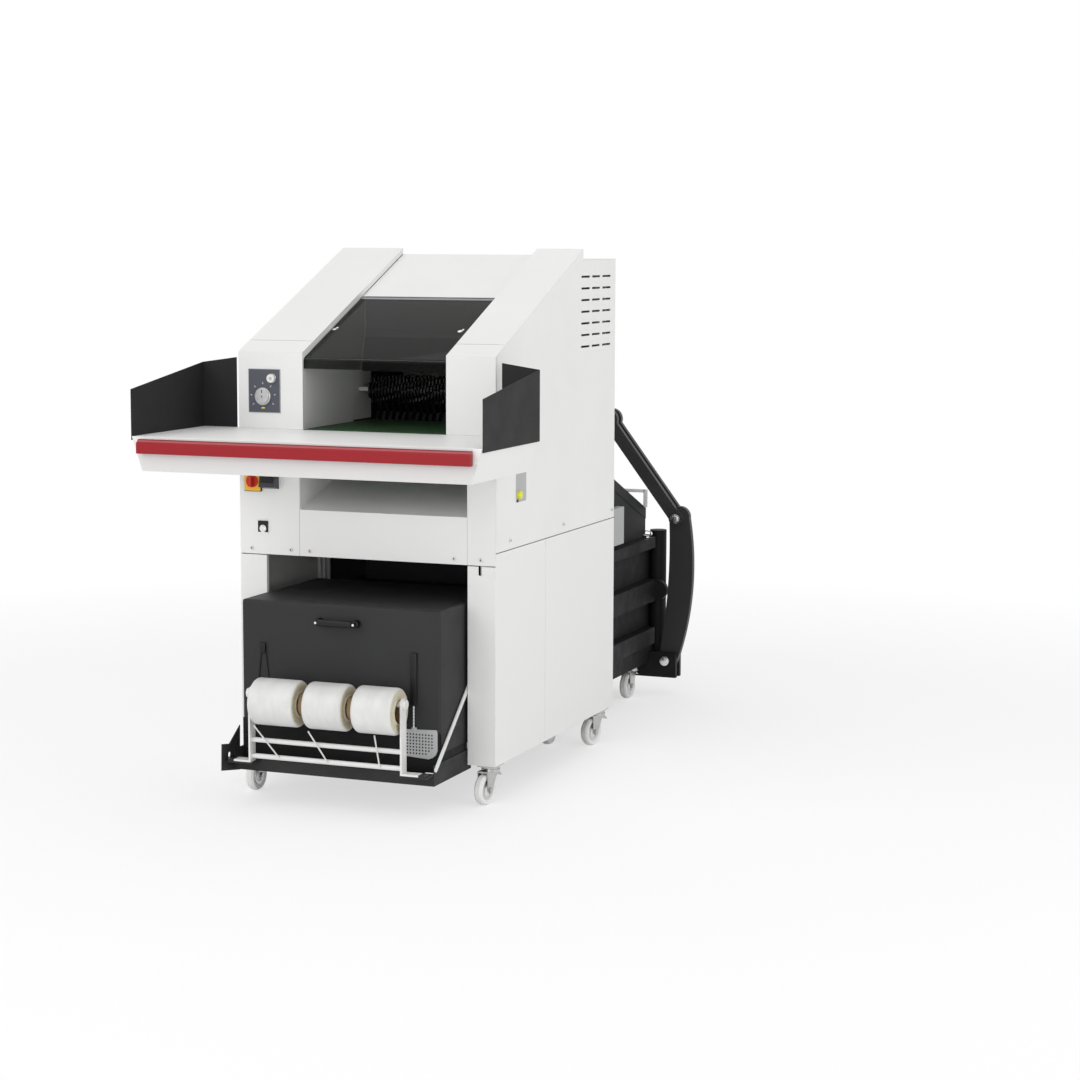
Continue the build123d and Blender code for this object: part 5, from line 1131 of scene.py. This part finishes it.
class BALER_OT_stage(bpy.types.Operator):
    """Sets the floor, the lamps, the world and the camera"""

    bl_idname = "baler.stage"
    bl_label = "Stage"

    def execute(self, context):
        settings = context.scene.baler_stage
        self.floor()
        self.world(settings)
        aim = (cad_box[0] + cad_box[1]) / 2
        lamps = (
            ("key_box", (-3.2, -5.0, 4.2), settings.key_power, 4.0),
            ("front_box", (1.0, -7.0, 1.3), settings.front_power, 4.0),
            ("fill_box", (5.6, -1.8, 2.0), settings.fill_power, 4.0),
            ("top_box", (0.4, 0.2, 5.2), settings.top_power, 5.0),
        )
        for name, place, power, size in lamps:
            data = bpy.data.lights.new(name, "AREA")
            data.energy = power
            data.size = size
            lamp = bpy.data.objects.new(name, data)
            context.scene.collection.objects.link(lamp)
            lamp.location = place
            lamp.rotation_euler = (aim - Vector(place)).to_track_quat("-Z", "Y").to_euler()
        self.camera(context, settings)
        context.scene.view_settings.view_transform = "Standard"
        return {"FINISHED"}

    def floor(self):
        """Pale floor that shows white and keeps the object's shadow."""
        bm = bmesh.new()
        bmesh.ops.create_grid(bm, x_segments=1, y_segments=1, size=30.0)
        mesh = bpy.data.meshes.new("floor")
        bm.to_mesh(mesh)
        bm.free()
        floor = bpy.data.objects.new("floor", mesh)
        bpy.context.scene.collection.objects.link(floor)
        pale = Finish("floor_white")
        pale.set(Roughness=0.9)
        pale.colour(pale.mix(pale.noise(0.5), (0.93, 0.93, 0.93), (0.96, 0.96, 0.96)))
        glow = pale.node("Emission", Color=(1, 1, 1, 1))
        reach = pale.node("VectorMath", operation="LENGTH")
        pale.link(pale.coordinates.outputs["Object"], reach.inputs[0])
        share = pale.math("MULTIPLY", pale.seen(), pale.spread(reach.outputs["Value"], 0.62, 1.0, 2.2, 4.5))
        pale.blend(
            share, pale.shader.outputs["BSDF"], glow.outputs["Emission"],
            pale.tree.nodes["Material Output"].inputs["Surface"])
        mesh.materials.append(pale.material)

    def world(self, settings):
        """White for the camera and for reflections, an even grey light for the rest."""
        world = bpy.data.worlds.new("studio")
        bpy.context.scene.world = world
        world.use_nodes = True
        made = Nodes(world.node_tree)
        sky = made.tree.nodes["Background"]
        sky.inputs["Color"].default_value = (1, 1, 1, 1)
        sky.inputs["Strength"].default_value = settings.world_strength
        white = made.node("Background", Color=(1, 1, 1, 1), Strength=1.0)
        surface = made.tree.nodes["World Output"].inputs["Surface"]
        made.blend(made.seen(), sky.outputs[0], white.outputs[0], surface)

    def camera(self, context, settings):
        """Camera at the photograph's place, given by its yaw, pitch and roll."""
        yaw, pitch, roll = settings.camera_yaw, settings.camera_pitch, settings.camera_roll
        ahead = Vector((-math.sin(yaw) * math.cos(pitch), math.cos(yaw) * math.cos(pitch), -math.sin(pitch)))
        level = Vector((math.cos(yaw), math.sin(yaw), 0))
        up = level.cross(ahead)
        right = level * math.cos(roll) + up * math.sin(roll)
        up = up * math.cos(roll) - level * math.sin(roll)
        turn = Matrix((right, up, -ahead)).transposed().to_4x4()
        data = bpy.data.cameras.new("camera")
        data.lens = settings.camera_lens
        data.sensor_width = 36.0
        data.clip_end = 100.0
        camera = bpy.data.objects.new("camera", data)
        context.scene.collection.objects.link(camera)
        place = Vector(settings.camera_place) + Vector((0, FRONT, 0))
        camera.matrix_world = Matrix.Translation(place) @ turn
        context.scene.camera = camera


OPERATORS = (
    BALER_OT_stage,
    BALER_OT_strands,
    BALER_OT_finishes,
    BALER_OT_twine_rolls,
    BALER_OT_visor_sheet,
    BALER_OT_feed_comb,
    BALER_OT_pillar_lips,
    BALER_OT_inner_posts,
    BALER_OT_hood_shell,
    BALER_OT_handles,
    BALER_OT_tools,
    BALER_OT_controls,
    BALER_OT_clamp_bolts,
    BALER_OT_screws,
    BALER_OT_visor_clips,
    BALER_OT_side_recess,
    BALER_OT_casters,
)


class BALER_PT_sidebar(bpy.types.Panel):
    """Lists the baler's sizes, colours and pieces"""

    bl_label = "Baler"
    bl_idname = "BALER_PT_sidebar"
    bl_space_type = "VIEW_3D"
    bl_region_type = "UI"
    bl_category = "Baler"

    def draw(self, context):
        layout = self.layout
        for attribute, group in GROUPS:
            column = layout.column(align=True)
            for name in group.__annotations__:
                column.prop(getattr(context.scene, attribute), name)
        for operator in OPERATORS:
            layout.operator(operator.bl_idname)


def register():
    for attribute, group in GROUPS:
        bpy.utils.register_class(group)
        setattr(bpy.types.Scene, attribute, bpy.props.PointerProperty(type=group))
    for operator in OPERATORS:
        bpy.utils.register_class(operator)
    bpy.utils.register_class(BALER_PT_sidebar)


def unregister():
    bpy.utils.unregister_class(BALER_PT_sidebar)
    for operator in reversed(OPERATORS):
        bpy.utils.unregister_class(operator)
    for attribute, group in reversed(GROUPS):
        delattr(bpy.types.Scene, attribute)
        bpy.utils.unregister_class(group)


def main():
    """Dresses the machine, piece by piece."""
    register()
    for operator in OPERATORS:
        group, name = operator.bl_idname.split(".")
        getattr(getattr(bpy.ops, group), name)()


if __name__ == "__main__":
    main()
